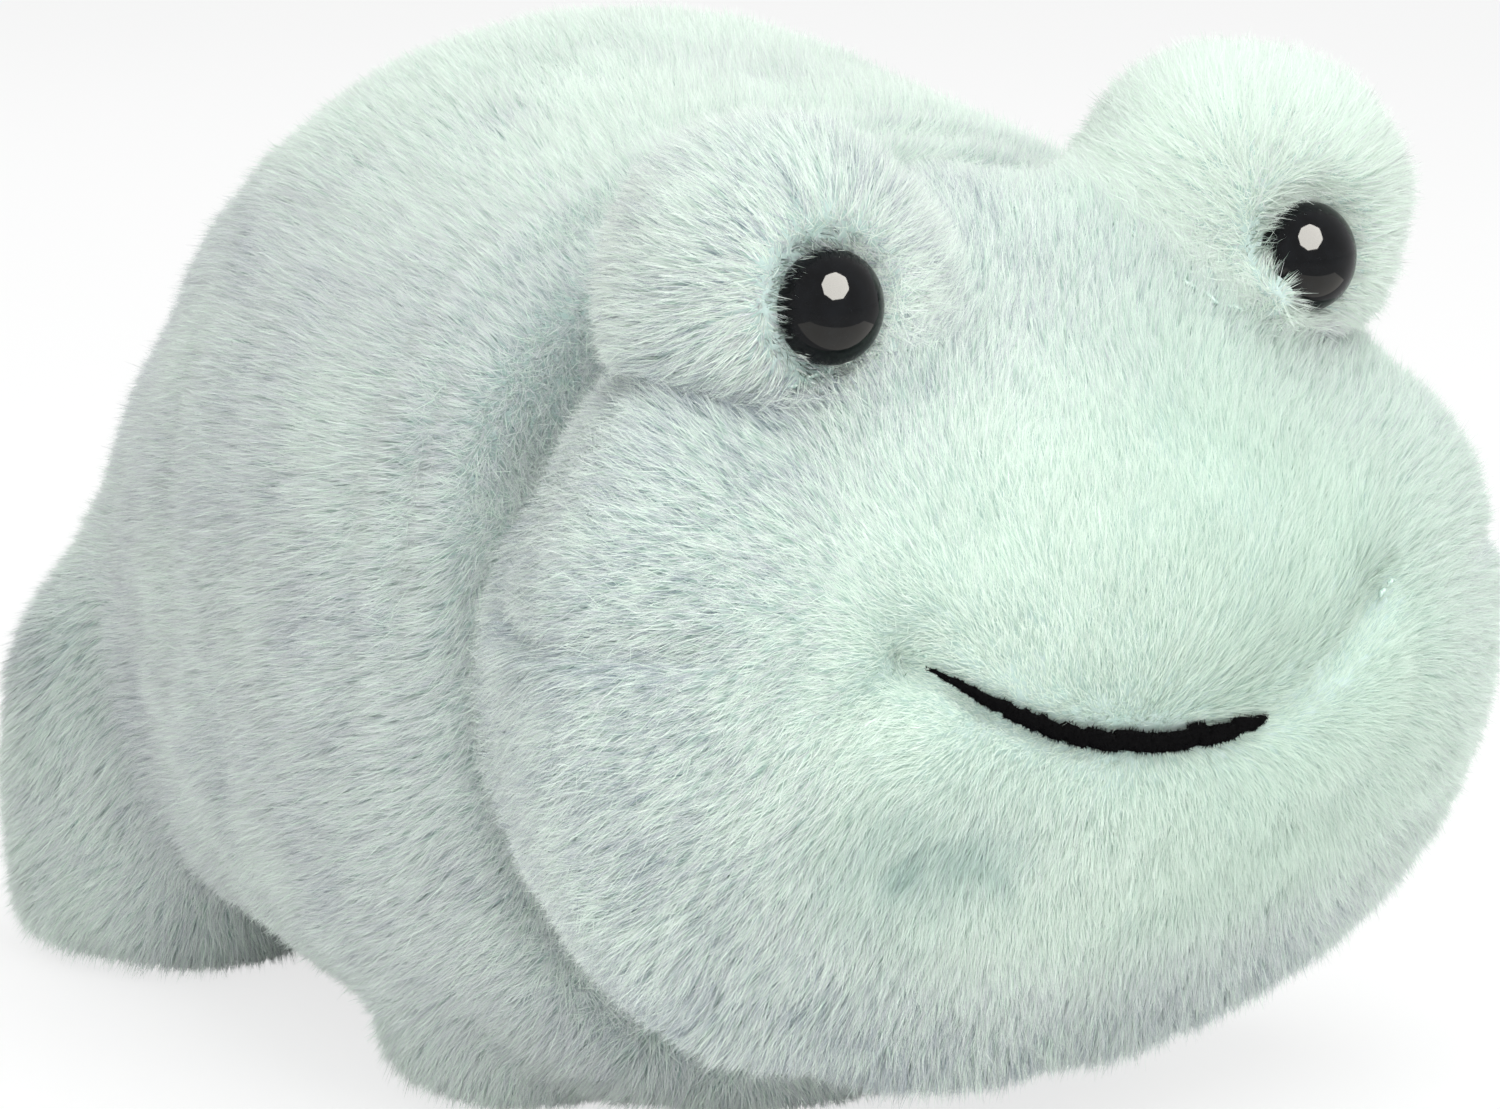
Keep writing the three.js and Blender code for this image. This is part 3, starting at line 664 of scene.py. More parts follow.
def cheek_dart(co):
    """From 0 to 1 along the short dart that crosses each cheek from the neck seam."""
    x, y, z = co.T
    ends = smooth_step(np.abs(x), 56 * MM, 64 * MM) * smooth_step(-y, 54 * MM, 62 * MM)
    return bell(z, 77.5 * MM, 1.8 * MM) * ends


def face_relief(x, y, z, sizes):
    """How far the smile, its lips, its dimpled corners and the puffed cheeks stand out or lie in."""
    front = smooth_step(-y, 78 * MM, 92 * MM)
    above_mouth = z - mouth_height(x, sizes)
    half = sizes.mouth_width / 2
    inside = 1 - smooth_step(np.abs(x - MOUTH_SHIFT), half, half + 6 * MM)
    relief = front * inside * sum(height * bell(above_mouth, place, spread) for height, place, spread in LIPS)
    relief -= front * inside * SMILE_DEPTH * bell(above_mouth, 0, SMILE_SPREAD)
    end = MOUTH_MIDDLE_HEIGHT + MOUTH_CORNER_RISE
    for sign in (1, -1):
        corner = np.hypot(x - MOUTH_SHIFT - sign * (half + 0.8 * MM), z - end + 0.5 * MM)
        relief -= front * CORNER_DEPTH * bell(corner, 0, CORNER_SPREAD)
        puff = ((x - MOUTH_SHIFT - sign * CHEEK_ASIDE) ** 2 + (z - CHEEK_HEIGHT) ** 2) ** 0.5
        relief += front * CHEEK_PUFF * bell(puff, 0, CHEEK_SPREAD)
    return relief


def head_skin(sizes):
    knobs = [(EYE_MOUNDS[sign], sign) for _, sign in SIDES]
    skin, to_head, to_mounds = sewn_skin("head", HEAD_STATIONS, knobs, sizes.head_backing, sizes.voxel)
    seam = np.maximum(to_head, to_mounds.min(0))
    # The mounds run into the face in front and between them, and keep a groove beside and behind
    co = positions(skin)
    aside = np.abs(co[:, 0])
    in_front = smooth_step(-co[:, 1], 74 * MM, 84 * MM) * (1 - smooth_step(aside, 36 * MM, 48 * MM))
    open_side = np.maximum(in_front, 1 - smooth_step(aside, 20 * MM, 40 * MM))
    relax_seams(skin, seam, MOUND_BLEND, MOUND_CREASE, open_side)
    co, outward = positions(skin), normals(skin)
    before_neck = -behind_neck(co)
    push = 0.7 * MM * soft_noise(co, 24 * MM, 21)[:, 0] + 0.3 * MM * soft_noise(co, 8 * MM, 22)[:, 0]
    # A groove runs under and behind each mound, and a dart across each cheek
    push -= GROOVE_DEPTH * bell(seam, 0, GROOVE_SPREAD) * (1 - open_side) + GROOVE_DEPTH * cheek_dart(co)
    push -= JAW_LIFT * bell(np.linalg.norm(co - JAW_REST, axis=1), 0, JAW_SPREAD)
    push += neck_relief(co, before_neck)
    lower_face = 1 - smooth_step(co[:, 2], 88 * MM, 108 * MM)
    settled = FACE_SHIFT * smooth_step(before_neck, 0, 14 * MM) * lower_face
    co[:, 0] += settled
    # The relief of the smile lies nearer the middle than its yarn, by as far as the face has settled
    push += face_relief(co[:, 0] + settled, co[:, 1], co[:, 2], sizes)
    co += outward * push[:, None]
    # Each eye presses its seat flat
    axis = np.array(EYE_AXIS)
    for side, _ in SIDES:
        rise, reach = about_eye(co, side)
        pressed = 1 - smooth_step(reach, sizes.eye_diameter * 0.5, sizes.eye_diameter * 0.85)
        pressed *= np.abs(rise) < SEAT_REACH
        co -= (pressed * (rise - 0.1 * MM))[:, None] * axis
        if side == "left":
            swell = bell(np.linalg.norm(co - np.array(eye_seat(side)) - RIM_SWELL, axis=1), 0, RIM_SPREAD)
            co += (RIM_HEIGHT * swell)[:, None] * axis
    set_positions(skin, co)
    return skin, to_head, to_mounds


def face_flow(co, on_mound, sizes):
    """The pile runs up, down and back from the smile. On the mounds it parts a little round the eye."""
    x = co[:, 0]
    across = MOUTH_SHIFT + 0.75 * np.clip(x - MOUTH_SHIFT, -30 * MM, 30 * MM)
    source = np.stack([across, np.full(len(co), -106 * MM), mouth_height(0.7 * x, sizes)], 1)
    from_snout = unit(co - source)
    flow = from_snout.copy()
    for side, sign in SIDES:
        mine = x * sign > 0
        swept = unit(0.45 * unit(co - np.array(eye_seat(side))) + np.array((0.35 * sign, 0.7, -0.15)))
        flow[mine] += (on_mound[:, None] * (swept - from_snout))[mine]
    return flow + soft_noise(co, 20 * MM, 31) * 0.22


def face_cover(co, beside, aside, sizes):
    """No fur grows under the yarn of the smile, but where it lies deep in its crease, nor under the eyes."""
    taper = np.clip(1 - (aside / (sizes.mouth_width / 2)) ** 2, 0, 1)
    yarn = 0.4 * sizes.mouth_thickness * taper * (1 - smooth_step(co[:, 0], 12 * MM, 19 * MM))
    cover = np.where((co[:, 1] < -80 * MM) & (beside < yarn), 0.0, 1.0)
    for side, _ in SIDES:
        rise, reach = about_eye(co, side)
        cover = np.where((reach < sizes.eye_diameter * 0.46) & (np.abs(rise) < SEAT_REACH), 0.0, cover)
    return cover


def head_fur_fields(skin, to_head, to_mounds, sizes):
    """What the fur needs to know at each point of the head, such as its flow, length, lean and tones."""
    co = positions(skin)
    x, y, z = co.T
    on_mound = smooth_step(to_head - to_mounds.min(0), -2 * MM, 7 * MM)
    eye_reach = np.min([np.linalg.norm(co - np.array(eye_seat(side)), axis=1) for side, _ in SIDES], axis=0)
    # Shares from 0 to 1 of the regions that differ: the cheeks, the rims of the eyes and the jaw
    cheek = smooth_step(np.linalg.norm((co - SNOUT) * (1, 1, 1.15), axis=1), 34 * MM, 68 * MM)
    rim = smooth_step(eye_reach, 7 * MM, 17 * MM)
    near_eye = 1 - smooth_step(eye_reach, 10 * MM, 16 * MM)
    jaw = 1 - smooth_step(z, 22 * MM, 48 * MM)
    # On the toy's left the pile is brushed smooth
    calm = smooth_step(x, -14 * MM, 22 * MM) * (1 - 0.4 * jaw)
    ruffled = cheek * (1 - calm)
    parted = partings(co, 33) * (0.7 - 0.4 * cheek)
    groove = bell(np.maximum(to_head, to_mounds.min(0)), 0, 3 * MM) * smooth_step(np.abs(x), 36 * MM, 46 * MM)
    # Painted shade: the pile is darker in the cheek dart and in the groove under and behind the mounds
    deep = 0.2 * cheek_dart(co + (0, 0, 1 * MM)) + 0.4 * groove
    # The pile beside and under the right half of the smile is rubbed into curls
    rubbed = bell(x, -31 * MM, 13 * MM) * bell(z, 50 * MM, 9 * MM) * smooth_step(-y, 76 * MM, 88 * MM)
    rubbed *= 0.55 + 0.9 * np.clip(soft_noise(co, 4 * MM, 34)[:, 0] + 0.3, 0, 0.5)
    # How far each point lies from the line of the smile
    half = sizes.mouth_width / 2
    gap, aside = np.abs(z - mouth_height(x, sizes)), np.abs(x - MOUTH_SHIFT)
    beside = np.where(aside < half, gap, np.hypot(aside - half, gap))
    long = (sizes.face_strand + cheek * (sizes.body_strand - sizes.face_strand)) * (0.8 + 0.2 * rim)
    long *= 1 - 0.2 * parted
    long *= np.where(y < -80 * MM, 0.6 + 0.4 * smooth_step(beside, 1 * MM, 8 * MM), 1)
    stand = 0.2 + 0.8 * smooth_step(eye_reach, 7 * MM, 12 * MM)
    # The jaw is painted darker, painted shade under the chin, and the creases are darker still
    tint_and_painted_light = 0.8 + 0.08 * soft_noise(co, 17 * MM, 32)[:, 0] - 0.14 * cheek - deep - 0.18 * jaw
    tint_and_painted_light -= ruffled * (0.16 + 0.24 * soft_noise(co, 3.2 * MM, 35)[:, 0])
    foot_tone = 0.08 + np.maximum(0.1 * calm, 0.5 * near_eye) - 0.06 * ruffled
    tip_tone = 0.99 - 0.85 * rubbed - 0.34 * parted * (1 - calm)
    return {
        "flow": face_flow(co, on_mound, sizes),
        "length": long,
        "lean": np.radians(67 - 13 * cheek - 8 * on_mound) * stand,
        # The eye mounds are painted paler, a painted highlight where they rise into the light
        "tint_and_painted_light": tint_and_painted_light + 0.07 * on_mound,
        "speckle": (0.09 + 0.26 * np.maximum(cheek, rubbed)) * (1 - 0.6 * calm),
        "tuft": 0.3 + 0.6 * np.maximum(cheek, rubbed),
        "foot_tone": foot_tone + on_mound * (0.18 + 0.22 * calm) * (1 - near_eye),
        "tip_tone": tip_tone - 0.27 * calm * (1 - 0.8 * on_mound),
        "cover": face_cover(co, beside, aside, sizes),
    }


# Fur. One strand in six is a guard hair, longer and paler, that lies over the rest; its paleness is partly a
# painted glint on strands that catch the light
GUARD_SHARE, GUARD_LENGTH, GUARD_LEAN, GUARD_PALENESS_AND_GLINT = 1 / 6, 0.45, 0.12, 0.9
# How much of a strand's flow is shared with its neighbours, and how much is its own
FLOW_WAVE, FLOW_STRAY = 0.28, 0.26
# How far a strand's tip moves to the middle of its tuft
GATHER_SHARE = 0.62
FOOT_DEPTH, FLOOR_GAP = 0.3 * MM, 0.15 * MM


def roots_on(skin, fields, count, rng):
    """Scatters the roots of the strands evenly over a skin, and reads its fields there."""
    faces = quads(skin)
    triangles = np.concatenate([faces[:, [0, 1, 2]], faces[:, [0, 2, 3]]])
    co, outward = positions(skin), normals(skin)
    a, b, c = (co[triangles[:, k]] for k in range(3))
    area = np.linalg.norm(np.cross(b - a, c - a), axis=1) / 2
    pick = rng.choice(len(triangles), int(count * area.sum() * 1e4), p=area / area.sum())
    u, v = rng.random((2, len(pick)))
    flip = u + v > 1
    u[flip], v[flip] = 1 - u[flip], 1 - v[flip]
    shares = np.stack([1 - u - v, u, v], 1)
    corners = triangles[pick]

    def read(values):
        return np.einsum("nk,nk...->n...", shares, values[corners])

    got = {name: read(values) for name, values in fields.items()}
    got["root"], got["normal"] = read(co), unit(read(outward))
    keep = rng.random(len(pick)) < got["cover"]
    return {name: values[keep] for name, values in got.items()}


def strand_points(got, sizes, rng):
    """Leans each strand over its flow and gathers it into its tuft. Returns what its blade is made from."""
    root, outward = got["root"], got["normal"]
    count = len(root)
    wave = soft_noise(root, 7 * MM, 41)
    flow = unit(got["flow"]) + FLOW_WAVE * wave + FLOW_STRAY * rng.normal(size=(count, 3))
    flow = unit(flow - (flow * outward).sum(1, keepdims=True) * outward)
    guard = rng.random(count) < GUARD_SHARE
    long = got["length"] * (0.7 + 0.4 * rng.random(count) + GUARD_LENGTH * guard) * (1 + 0.15 * wave[:, 1])
    lean = got["lean"] + 0.16 * wave[:, 2] + 0.12 * rng.normal(size=count) + GUARD_LEAN * guard
    rise, reach = long * np.cos(lean), long * np.sin(lean)
    middle = nearest_tuft(root + flow * (0.4 * reach)[:, None], sizes.tuft_spacing, 43)
    gather = middle - root
    gather -= (gather * outward).sum(1, keepdims=True) * outward
    gather *= (GATHER_SHARE * got["tuft"])[:, None]
    tip = root + outward * rise[:, None] + flow * reach[:, None] + gather
    along = unit(tip - root)
    across = unit(np.cross(along, outward))
    twist = 0.4 * rng.normal(size=count)
    across = across * np.cos(twist)[:, None] + np.cross(along, across) * np.sin(twist)[:, None]
    half = across * (sizes.strand_width / 2 * (0.75 + 0.5 * rng.random(count)))[:, None]
    foot = root - outward * FOOT_DEPTH
    points = np.stack([foot - half, foot + half, tip], 1)
    points[:, :, 2] = np.maximum(points[:, :, 2], FLOOR_GAP)
    lift = unit(outward + 0.2 * rng.normal(size=(count, 3)))
    # Guard hairs are paler, partly a painted glint
    shade = got["tint_and_painted_light"] + got["speckle"] * (rng.normal(size=count) + GUARD_PALENESS_AND_GLINT * guard)
    tones = np.stack([got["foot_tone"], got["foot_tone"], got["tip_tone"]], 1)
    return points, lift, np.clip(shade, 0.02, 0.98), tones


def strand_mesh(name, points, lift, shade, tones):
    """Strands as slender blades, lit as the skin under them. Their UV map holds their shade and tones."""
    count = len(points)
    mesh = bpy.data.meshes.new(name)
    mesh.vertices.add(count * 3)
    mesh.vertices.foreach_set("co", points.reshape(-1).astype(np.float32))
    mesh.loops.add(count * 3)
    mesh.loops.foreach_set("vertex_index", np.arange(count * 3, dtype=np.int32))
    mesh.polygons.add(count)
    mesh.polygons.foreach_set("loop_start", np.arange(count, dtype=np.int32) * 3)
    layer = mesh.uv_layers.new(name="OFBake")
    # The two corners of the foot differ a little, so that a blade has some area in the map
    across = shade[:, None] + np.array((-1, 1, 0)) * 0.004
    uv = np.stack([across, np.clip(tones, 0.01, 0.99)], 2)
    layer.data.foreach_set("uv", uv.astype(np.float32).ravel())
    mesh.update(calc_edges=True)
    mesh.shade_smooth()
    mesh.normals_split_custom_set_from_vertices(np.repeat(lift, 3, axis=0).astype(np.float32))
    return mesh


def grow_fur(skin, fields, sizes, material, regions, seed):
    """Grows the pile over a skin, as one piece for each region of it."""
    rng = np.random.default_rng(seed)
    got = roots_on(skin, fields, sizes.strands_per_square, rng)
    points, lift, shade, tones = strand_points(got, sizes, rng)
    left = np.ones(len(points), bool)
    for name, test in regions:
        mine = left & test(got["root"])
        left &= ~mine
        if not mine.any():
            continue
        blades = strand_mesh(name, points[mine], lift[mine], shade[mine], tones[mine])
        piece = link(blades, name, material, smooth=False)
        # Light passes through such fine strands, so they cast no shadow of their own
        piece.visible_shadow = False
        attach(piece, "root")


def split_skin(skin, parts, rest, material):
    """Cuts a skin into its sewn pieces: each part's faces, and the rest."""
    co, faces = positions(skin), quads(skin)
    middles = co[faces].mean(1)
    left = np.ones(len(faces), bool)
    for name, test, nodes in [*parts, (rest[0], lambda p: np.ones(len(p), bool), rest[1])]:
        mine = left & test(middles)
        left &= ~mine
        piece = link(submesh(name, co, faces, mine), name, material)
        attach(piece, "root")
        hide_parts(*nodes)


def shrunk_filling(skin, name, nodes, depth, material):
    """The fibre filling: the skin's shape drawn in, lumpy where the fibre bunches."""
    co, outward = positions(skin), normals(skin)
    lumps = 1.2 * MM * soft_noise(co, 12 * MM, 51)[:, 0]
    mesh = submesh(name, co - outward * (depth + lumps)[:, None], quads(skin), slice(None))
    piece = link(mesh, name, material)
    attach(piece, "root")
    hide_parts(*nodes)


FILLING_DEPTH = 3.0 * MM


class FROG_OT_body(bpy.types.Operator):
    """Sews the body and legs, and grows their fur"""

    bl_idname = "frog.body"
    bl_label = "Body and legs"

    def execute(self, context):
        sizes, colours = context.scene.frog_sizes, context.scene.frog_colours
        skin, to_body, to_legs = body_skin(sizes)
        fields = body_fur_fields(skin, to_body, to_legs, sizes)
        legs = [
            (f"{end}_leg_skin_{side}", near_knob(spec, sign, (-1, LEG_TOP)), [f"{end}_leg_cover_{side}"])
            for end, spec in (("front", FRONT_LEG), ("hind", HIND_LEG))
            for side, sign in SIDES
        ]
        split_skin(skin, legs, ("body_skin", ["body_cover"]), knitted_backing(colours))
        fillings = [f"{end}_leg_filling_{side}" for end in ("front", "hind") for side, _ in SIDES]
        shrunk_filling(skin, "body_fibre", ["body_filling", *fillings], FILLING_DEPTH, hollow_fibre())
        regions = [(name.replace("skin", "fur"), test) for name, test, _ in legs]
        regions += [
            ("belly_fur", within((None, None, None), (None, None, 22))),
            ("rump_fur", within((None, 72, None), (None, None, None))),
            ("back_fur_left", within((0, None, 92), (None, None, None))),
            ("back_fur_right", within((None, None, 92), (0, None, None))),
            ("flank_fur_left", within((0, None, None), (None, None, None))),
            ("flank_fur_right", within((None, None, None), (0, None, None))),
        ]
        grow_fur(skin, fields, sizes, polyester_pile(colours), regions, 7)
        bpy.data.meshes.remove(skin)
        return {"FINISHED"}


class FROG_OT_head(bpy.types.Operator):
    """Sews the head and its eye mounds, and grows their fur"""

    bl_idname = "frog.head"
    bl_label = "Head and eye mounds"

    def execute(self, context):
        sizes, colours = context.scene.frog_sizes, context.scene.frog_colours
        skin, to_head, to_mounds = head_skin(sizes)
        fields = head_fur_fields(skin, to_head, to_mounds, sizes)
        mounds = [
            (
                f"eye_mound_skin_{side}",
                near_knob(EYE_MOUNDS[sign], sign, (MOUND_FOOT, 1)),
                [f"eye_mound_cover_{side}"],
            )
            for side, sign in SIDES
        ]
        split_skin(skin, mounds, ("head_skin", ["head_cover"]), knitted_backing(colours))
        fillings = [f"eye_mound_filling_{side}" for side, _ in SIDES]
        shrunk_filling(skin, "head_fibre", ["head_filling", *fillings], FILLING_DEPTH, hollow_fibre())
        regions = [(name.replace("skin", "fur"), test) for name, test, _ in mounds]
        regions += [
            ("crown_fur", within((None, None, 100), (None, None, None))),
            ("chin_fur", within((None, None, None), (None, None, 40))),
            ("muzzle_fur", within((-34, None, None), (34, None, None))),
            ("cheek_fur_left", within((0, None, None), (None, None, None))),
            ("cheek_fur_right", within((None, None, None), (0, None, None))),
        ]
        grow_fur(skin, fields, sizes, polyester_pile(colours), regions, 11)
        bpy.data.meshes.remove(skin)
        return {"FINISHED"}


# Eyes. The barbs are spaced in millimetres
RIM_THICKNESS, DOME_HEIGHT, DOME_STEPS = 1.0 * MM, 5.4 * MM, 25
STEM_RADIUS, BARBS, BARB_SPACING = 2.0 * MM, 4, 1.6


def moulded_eye(colours):
    """Moulded polystyrene eye: deep black under a polished surface."""
    # Flow marks of the moulding, about 2 mm apart and only just seen
    flow = ("ShaderNodeTexNoise", {"Scale": every(2), "Detail": 2.0})
    finish = {"Roughness": 0.05, "IOR": 1.5, "Specular IOR Level": 0.15}
    stops = [(0.35, opaque(colours.eye)), (0.8, linear("#101215"))]
    return patterned("moulded_polystyrene", finish, flow, "Fac", stops)


def turned(name, profile, seat, sides=96):
    """Turns a profile of (radius, height) rows round the eye's axis, and places it on its seat."""
    turn = Vector((0, 0, 1)).rotation_difference(EYE_AXIS)
    angles = [2 * math.pi * k / sides for k in range(sides)]
    rings = []
    for r, h in profile:
        rings.append([seat + turn @ Vector((r * math.cos(a), r * math.sin(a), h)) for a in angles])
    ends = [seat + turn @ Vector((0, 0, profile[k][1])) for k in (0, -1)]
    return rings_to_mesh(name, rings, *ends)


def eye_profile(radius):
    """Radius and height of a safety eye, from the end of its barbed stem to the top of its dome."""
    stem = STEM_RADIUS
    profile = [(stem * 0.5, -10 * MM), (stem * 0.9, -9.4 * MM), (stem, -8.6 * MM)]
    # Barbs along the stem catch the washer
    for barb in range(BARBS):
        height = (-8.0 + barb * BARB_SPACING) * MM
        profile += [(stem, height), (stem, height + 0.9 * MM), (stem * 0.86, height + 1.0 * MM)]
    profile += [(stem, -0.6 * MM), (stem * 1.2, 0.0), (radius - 0.5 * MM, 0.0)]
    profile += [(radius - 0.1 * MM, 0.15 * MM), (radius, 0.5 * MM), (radius - 0.08 * MM, RIM_THICKNESS)]
    for step in range(1, DOME_STEPS):
        rise = step / DOME_STEPS * math.pi / 2
        profile.append(((radius - 0.1 * MM) * math.cos(rise), RIM_THICKNESS + DOME_HEIGHT * math.sin(rise)))
    return profile


class FROG_OT_eyes(bpy.types.Operator):
    """Makes the domed safety eyes"""

    bl_idname = "frog.eyes"
    bl_label = "Eyes"

    def execute(self, context):
        sizes, colours = context.scene.frog_sizes, context.scene.frog_colours
        material = moulded_eye(colours)
        profile = eye_profile(sizes.eye_diameter / 2)
        for side, _ in SIDES:
            eye = link(turned(f"eye_{side}_domed", profile, eye_seat(side)), f"eye_{side}_domed", material)
            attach(eye, "root")
            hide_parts(f"eye_{side}")
        return {"FINISHED"}


# Mouth
YARN_STEPS, YARN_SIDES = 120, 20
# How many millimetres the yarn lies over the skin, and how many it sinks where it nears its far crease
YARN_LIFT, YARN_SINK = 1.4, 2.6
FUZZ_PER_STEP, FUZZ_WIDTH = 34, 0.09 * MM


def mouth_yarn(colours):
    """Black polyester yarn, brushed to a matt fuzz."""
    # Filaments lie about 0.2 mm apart
    filaments = ("ShaderNodeTexNoise", {"Scale": every(0.2), "Detail": 2.0})
    finish = {"Roughness": 1.0, "Specular IOR Level": 0.02}
    stops = [(0.3, opaque(colours.mouth)), (0.9, linear("#0e0e10"))]
    return patterned("brushed_black_yarn", finish, filaments, "Fac", stops)


def yarn_line(skin, sizes):
    """Place, normal and share of the full thickness at each step along the smile."""
    line = []
    for step in range(YARN_STEPS + 1):
        x = MOUTH_SHIFT + sizes.mouth_width / 2 * (2 * step / YARN_STEPS - 1)
        place, normal = front_of(skin, x, mouth_height(x, sizes))
        # The far third lies deep in its crease
        sunk = smooth_step(x, 17 * MM, 24 * MM)
        line.append((place + normal * (YARN_LIFT - YARN_SINK * sunk) * MM, normal, 1 - 0.6 * sunk))
    return line


def yarn_rings(line, sizes):
    """The rings of the yarn's round core, and the blades of fuzz that stand off it on all sides that show."""
    rng = np.random.default_rng(5)
    rings, blades = [], []
    for step, (place, normal, keep) in enumerate(line):
        before, after = line[max(step - 1, 0)][0], line[min(step + 1, YARN_STEPS)][0]
        along = (after - before).normalized()
        up = along.cross(normal).normalized()
        share = 2 * step / YARN_STEPS - 1
        thick = sizes.mouth_thickness / 2 * max(1 - share**2, 0.02) ** 0.5 * keep
        # It thins out towards the crease on the left
        thick *= 1 - 0.82 * smooth_step(share, 0.1, 0.62)
        thick *= 1 + 0.05 * math.sin(step * 2.1)
        ring = []
        for side in range(YARN_SIDES):
            angle = 2 * math.pi * side / YARN_SIDES
            ring.append(place + up * (thick * math.cos(angle)) + normal * (0.75 * thick * math.sin(angle)))
        rings.append(ring)
        for _ in range(FUZZ_PER_STEP):
            angle = rng.uniform(-0.35, math.pi + 0.35)
            out = up * math.cos(angle) + normal * math.sin(angle)
            foot = place + up * (thick * 0.9 * math.cos(angle)) + normal * (0.65 * thick * math.sin(angle))
            foot = foot + along * rng.normal() * 0.3 * MM
            lean = out + along * rng.normal() * 0.7 + up * rng.normal() * 0.3
            long = rng.uniform(0.4, 1.1) * MM * (0.2 + thick / (2.2 * MM))
            wide = along * FUZZ_WIDTH
            blades.append((foot - wide, foot + wide, foot + lean.normalized() * long))
    return rings, blades


class FROG_OT_mouth(bpy.types.Operator):
    """Lays the yarn of the smile in the pile of the muzzle"""

    bl_idname = "frog.mouth"
    bl_label = "Mouth"

    def execute(self, context):
        sizes, colours = context.scene.frog_sizes, context.scene.frog_colours
        line = yarn_line(tree_of(bpy.data.objects["head_skin"].data), sizes)
        rings, blades = yarn_rings(line, sizes)
        core = rings_to_mesh("mouth_yarn_core", rings, line[0][0], line[-1][0])
        yarn = bmesh.new()
        yarn.from_mesh(core)
        bpy.data.meshes.remove(core)
        for blade in blades:
            yarn.faces.new([yarn.verts.new(point) for point in blade])
        mesh = bpy.data.meshes.new("mouth_yarn")
        yarn.to_mesh(mesh)
        yarn.free()
        piece = link(mesh, "mouth_yarn", mouth_yarn(colours))
        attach(piece, "root")
        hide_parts("mouth_line")
        return {"FINISHED"}


# Seams
SEAM_BINS, STITCH_STEPS, STITCH_SIDES = 72, 7, 8
STITCH_THICKNESS, STITCH_LENGTH, STITCH_LIFT = 0.7 * MM, 3.5 * MM, 0.2 * MM
# Stitches at the smile's corners: thickness, length, how far aside and how high they lie
CORNER_THICKNESS, CORNER_LENGTH = 0.8 * MM, 1.6 * MM
CORNER_ASIDE, CORNER_HEIGHT = 38 * MM, 76 * MM
# The points of the one on the left, across and up, in millimetres
CORNER_POINTS = ((-1.4, -1.2), (0, 0.2), (1.4, 1.2))


def sewing_thread():
    """Spun polyester sewing thread: two plies twisted tight, with little shine."""
    # Plies cross the thread about every 0.6 mm, and a wave's bands repeat at 0.314 of its unit
    twist = ("ShaderNodeTexWave", {"Scale": 0.314 * every(0.628), "Distortion": 2.0})
    stops = [(0.2, linear("#9fbdb4")), (0.8, linear("#c4dbd3"))]
    relief = {"Strength": 0.4, "Distance": 0.1 * MM}
    finish = {"Roughness": 0.6, "Sheen Weight": 0.2}
    return patterned("spun_polyester_thread", finish, twist, "Fac", stops, relief)


def loop_of(node, bins):
    """The middle line of a CAD thread that runs round in a loop."""
    co = positions(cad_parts[node].data)
    middle = co.mean(0)
    plane = np.linalg.svd(co - middle, full_matrices=False)[2][:2]
    flat = (co - middle) @ plane.T
    turn = np.arctan2(flat[:, 1], flat[:, 0])
    centres = (np.arange(bins) + 0.5) / bins * 2 * math.pi - math.pi
    line = []
    for centre in centres:
        gap = np.abs((turn - centre + math.pi) % (2 * math.pi) - math.pi)
        line.append(co[np.argsort(gap)[:6]].mean(0))
    return np.array(line)


def stitches(name, line, thickness, stitch_length, closed=True):
    """A row of separate stitches along a line, each a small bowed bead of thread."""
    closed_line = np.vstack([line, line[:1]]) if closed else line
    far = np.concatenate([[0], np.cumsum(np.linalg.norm(np.diff(closed_line, axis=0), axis=1))])
    count = max(int(far[-1] / stitch_length), 2)
    hub = Vector(line.mean(0))
    turns = np.linspace(0, 2 * math.pi, STITCH_SIDES, False)

    def point_at(at):
        return Vector([np.interp(at, far, closed_line[:, k]) for k in range(3)])

    made = bmesh.new()
    for stitch in range(count):
        start, end = (stitch + 0.1) * far[-1] / count, (stitch + 0.9) * far[-1] / count
        rings = []
        for step in range(STITCH_STEPS):
            share = step / (STITCH_STEPS - 1)
            at = start + (end - start) * step / (STITCH_STEPS - 1)
            point, ahead = point_at(at), point_at(at + 0.2 * MM)
            along = (ahead - point).normalized() if (ahead - point).length > 1e-9 else Vector((0, 0, 1))
            side = along.cross((point - hub).normalized()).normalized()
            out = side.cross(along)
            bow = math.sin(math.pi * share)
            radius = thickness / 2 * (0.35 + 0.65 * bow**0.5)
            middle = point + out * bow * 0.25 * thickness
            rings.append([middle + (side * math.cos(a) + out * math.sin(a)) * radius for a in turns])
        ends = [ring[0].lerp(ring[STITCH_SIDES // 2], 0.5) for ring in (rings[0], rings[-1])]
        bead = rings_to_mesh("stitch", rings, *ends)
        made.from_mesh(bead)
        bpy.data.meshes.remove(bead)
    mesh = bpy.data.meshes.new(name)
    made.to_mesh(mesh)
    made.free()
    return mesh


